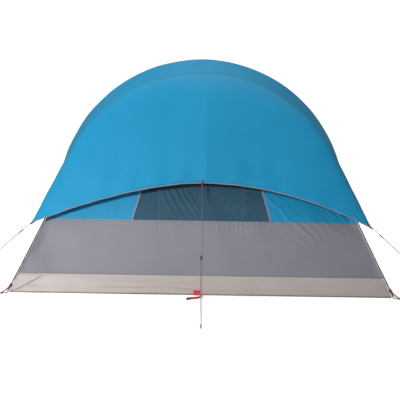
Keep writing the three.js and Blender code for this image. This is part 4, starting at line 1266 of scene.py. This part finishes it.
def ground_loop():
    """The red loop sewn to the middle of the groundsheet's rear edge, with its twisted tail."""
    y = -(HALF_LENGTH - POLE_TO_CLOTH)
    centre = np.array([-0.030, y, 0.0])
    t = np.linspace(0, 1, 14)[:, None]
    rise = np.array([0, math.sin(END_LEAN), math.cos(END_LEAN)])
    out = np.array([0, -1.0, 0])
    flat = centre + rise * (0.040 - 0.034 * t) + out * (0.004 + 0.012 * t ** 2)
    patch = ribbon_parts(flat, RIGHT, 0.056, 0.0022)
    lap = flat[4:] + out * 0.0040 + np.array([0.009, 0, -0.003])
    second = ribbon_parts(lap, np.array([1.0, 0, 0.25]), 0.034, 0.0022)
    keys = np.array([[-0.016, y - 0.014, 0.014], [0.000, y - 0.040, 0.012], [0.004, y - 0.085, 0.011],
                     [-0.010, y - 0.130, 0.011], [-0.040, y - 0.155, 0.011], [-0.075, y - 0.168, 0.011],
                     [-0.110, y - 0.195, 0.011]])
    tail = smoothed(keys, 60, 6)
    twist = np.linspace(0.0, 1.0, 60)
    across = np.stack([0.9 * (1 - twist) ** 3, np.full(60, -0.35), 0.25 + twist], -1)
    strap = ribbon_parts(tail, unit(across), 0.019, 0.0024)
    make("rear_ground_loop_webbing", [patch, second, strap], RED, replaces=("rear_centre_ground_loop",))
    tip = ribbon_parts(tail[-8:] + (tail[-1] - tail[-2]) * 0.1, unit(across[-8:]), 0.0200, 0.0036)
    make("rear_ground_loop_tip", [tip], BLACK_WEB)


def hem_tab():
    """The red tab folded over the middle of the rear hem, holding the guyline."""
    keys = np.array([[0, -0.880, 0.908], [0, -0.889, 0.892], [0, -0.898, 0.868], [0, -0.903, 0.850],
                     [0, -0.899, 0.844], [0, -0.893, 0.850], [0, -0.884, 0.868], [0, -0.878, 0.880]])
    tab = ribbon_parts(smoothed(keys, 50, 4), RIGHT, 0.012, 0.0018)
    make("rear_hem_tab_webbing", [tab], DARK_RED, replaces=("rear_centre_fly_tab",))


# ---- Pole clips ----------------------------------------------------------------------------------
def pole_clips():
    """Plastic clips on short webbing that hold the inner tent to the poles."""
    clips, webs = [], []
    for end in (-1, 1):
        for side in (-1, 1):
            for height in (0.66, 0.90, 1.14, 1.36):
                distance = side * END.length_to(height * SLOPE)
                pole = on_end(*END.point(distance), end)
                ahead = on_end(*END.point(distance - side * 0.01), end)
                add_clip(clips, webs, pole, unit(ahead - pole))
    for side in (-1, 1):
        for height in (0.12, 0.33, 0.54, 0.78, 1.02):
            distance = side * MAIN.length_to(height)
            pole, ahead = (np.array([x, 0.0, up]) for x, up in
                           (MAIN.point(distance), MAIN.point(distance - side * 0.01)))
            add_clip(clips, webs, pole, unit(ahead - pole))
    make("pole_clips", clips, PLASTIC)
    make("pole_clip_webbing", webs, BLACK_WEB)


def add_clip(clips, webs, pole, along):
    inward = unit(np.array([-pole[0], -pole[1] * 0.8, 0.0]))
    inward = unit(inward - along * (inward @ along))
    side = np.cross(along, inward)
    angle = np.linspace(math.radians(50), math.radians(310), 22)
    radius = POLE_RADIUS + 0.0022
    ring = pole - inward * (radius * np.cos(angle))[:, None] + side * (radius * np.sin(angle))[:, None]
    clips.append(ribbon_parts(ring, along, 0.016, 0.0024))
    neck = pole + inward * np.linspace(radius + 0.0002, radius + 0.007, 6)[:, None]
    webs.append(ribbon_parts(neck, along, 0.014, 0.0022))


# ---- Carried-over solids -------------------------------------------------------------------------
def dress_frame():
    finish = {}
    for hoop in ("main", "rear", "front"):
        for part in ("crown", "left_leg", "right_leg"):
            finish[f"{hoop}_hoop_{part}"] = POLE
        for part in ("left_ferrule", "right_ferrule"):
            finish[f"{hoop}_hoop_{part}"] = STEEL
    for label in guyline_places():
        finish[f"runner_{label}"] = PLASTIC
    finish["door_zip_slider_upper"] = STEEL
    finish["door_zip_slider_lower"] = STEEL
    for node, mat in finish.items():
        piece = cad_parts[node]
        piece.data.materials.clear()
        piece.data.materials.append(mat)


# ---- Studio --------------------------------------------------------------------------------------
# The even light of the surroundings, at the left and at the right, and how bright they look.
SKY_LEFT_TO_RIGHT = (0.60, 0.08)
SKY_SEEN = 1.25
# How brightly the white paper glows in front of the rear wall, and away from there.
PAPER_GLOW = (0.20, 0.80)
# Where the paper starts to bend up behind the tent, and the bend's radius.
PAPER_BEND_START = 7.0
PAPER_BEND_RADIUS = 5.0
CAMERA_LENS = 67.8
CAMERA_PLACE = (-0.03, -HALF_LENGTH - 6.0, 1.3)
# Pitch, roll and yaw in degrees.
CAMERA_TURN = (5.0, -0.9, -0.05)


def studio():
    n = Nodes("studio_floor_white")
    coords = n.add("TexCoord")
    soft = n.add("TexNoise", {"Vector": coords.outputs["Object"], "Scale": 0.6, "Detail": 2.0})
    seen = n.add("LightPath").outputs["Is Camera Ray"]
    tone = n.mix(soft.outputs[0], (0.62, 0.62, 0.62, 1), (0.66, 0.66, 0.66, 1))
    tone = n.mix(seen, tone, (0.90, 0.90, 0.90, 1))
    paper = n.add("BsdfDiffuse", {"Color": tone})
    from_rear = n.add("VectorMath", {0: coords.outputs["Object"], 1: (0.0, -2.0, 0.0)},
                      operation="DISTANCE")
    strength = n.remap(from_rear.outputs["Value"], 0.9, 3.0, *PAPER_GLOW)
    glow = n.add("Emission", {"Color": (1, 1, 1, 1), "Strength": n.maths("MULTIPLY", seen, strength)})
    both = n.add("AddShader", {0: paper.outputs[0], 1: glow.outputs[0]})
    floor_mat = n.finish(both.outputs[0])
    mesh = bpy.data.meshes.new("studio_floor")
    profile = [(-14.0, 0.0)]
    for angle in (math.pi / 2 * k / 16 for k in range(17)):
        profile.append((PAPER_BEND_START + PAPER_BEND_RADIUS * math.sin(angle),
                        PAPER_BEND_RADIUS * (1 - math.cos(angle))))
    profile.append((PAPER_BEND_START + PAPER_BEND_RADIUS, 16.0))
    verts = [(x, y, z - 0.0005) for y, z in profile for x in (-22.0, 22.0)]
    faces = [(2 * k, 2 * k + 1, 2 * k + 3, 2 * k + 2) for k in range(len(profile) - 1)]
    mesh.from_pydata(verts, [], faces)
    mesh.materials.append(floor_mat)
    for polygon in mesh.polygons:
        polygon.use_smooth = True
    place_object("studio_floor", mesh)

    def area(name, place, aim, size, power):
        light = bpy.data.lights.new(name, "AREA")
        light.shape = "RECTANGLE"
        light.size = light.size_y = size
        light.energy = power
        holder = place_object(name, light)
        holder.location = place
        holder.rotation_euler = (Vector(aim) - Vector(place)).to_track_quat("-Z", "Y").to_euler()
        holder.visible_camera = False

    # Name, place, aim, side of the square and watts.
    area("key_left", (-2.5, -4.7, 2.5), (-0.4, -0.8, 0.8), 0.9, 182)
    area("fill_right", (7.0, 0.0, 3.0), (0.0, 0.0, 0.8), 5.0, 30)
    area("top", (0.3, 0.8, 8.0), (0.0, 0.0, 0.0), 6.0, 290)

    n = Nodes("studio_world", world=True)
    across = n.add("SeparateXYZ", {0: n.add("TexCoord").outputs["Generated"]}).outputs[0]
    sky = n.remap(across, -1.0, 1.0, *SKY_LEFT_TO_RIGHT)
    seen = n.add("LightPath").outputs["Is Camera Ray"]
    level = n.add("Mix", {0: seen, 2: sky, 3: SKY_SEEN}, data_type="FLOAT").outputs[0]
    bpy.context.scene.world = n.finish(n.add("Background", {1: level}).outputs[0])

    camera = bpy.data.cameras.new("camera")
    camera.sensor_width = 36.0
    camera.lens = CAMERA_LENS
    camera.clip_end = 200.0
    holder = place_object("camera", camera)
    holder.location = CAMERA_PLACE
    pitch, roll, yaw = (math.radians(degrees) for degrees in CAMERA_TURN)
    holder.rotation_euler = (math.pi / 2 - pitch, roll, yaw)
    bpy.context.scene.camera = holder
    bpy.context.scene.view_settings.view_transform = "Standard"


# ---- Build ---------------------------------------------------------------------------------------
rear_wall()
rear_trim()
edge_flaps()
front_wall()
door_flap()
door_zip()
side_walls()
roof_net()
groundsheet()
fly_points = fly()
fly_trim(fly_points)
guylines()
pegs()
webbing()
pole_clips()
dress_frame()
studio()
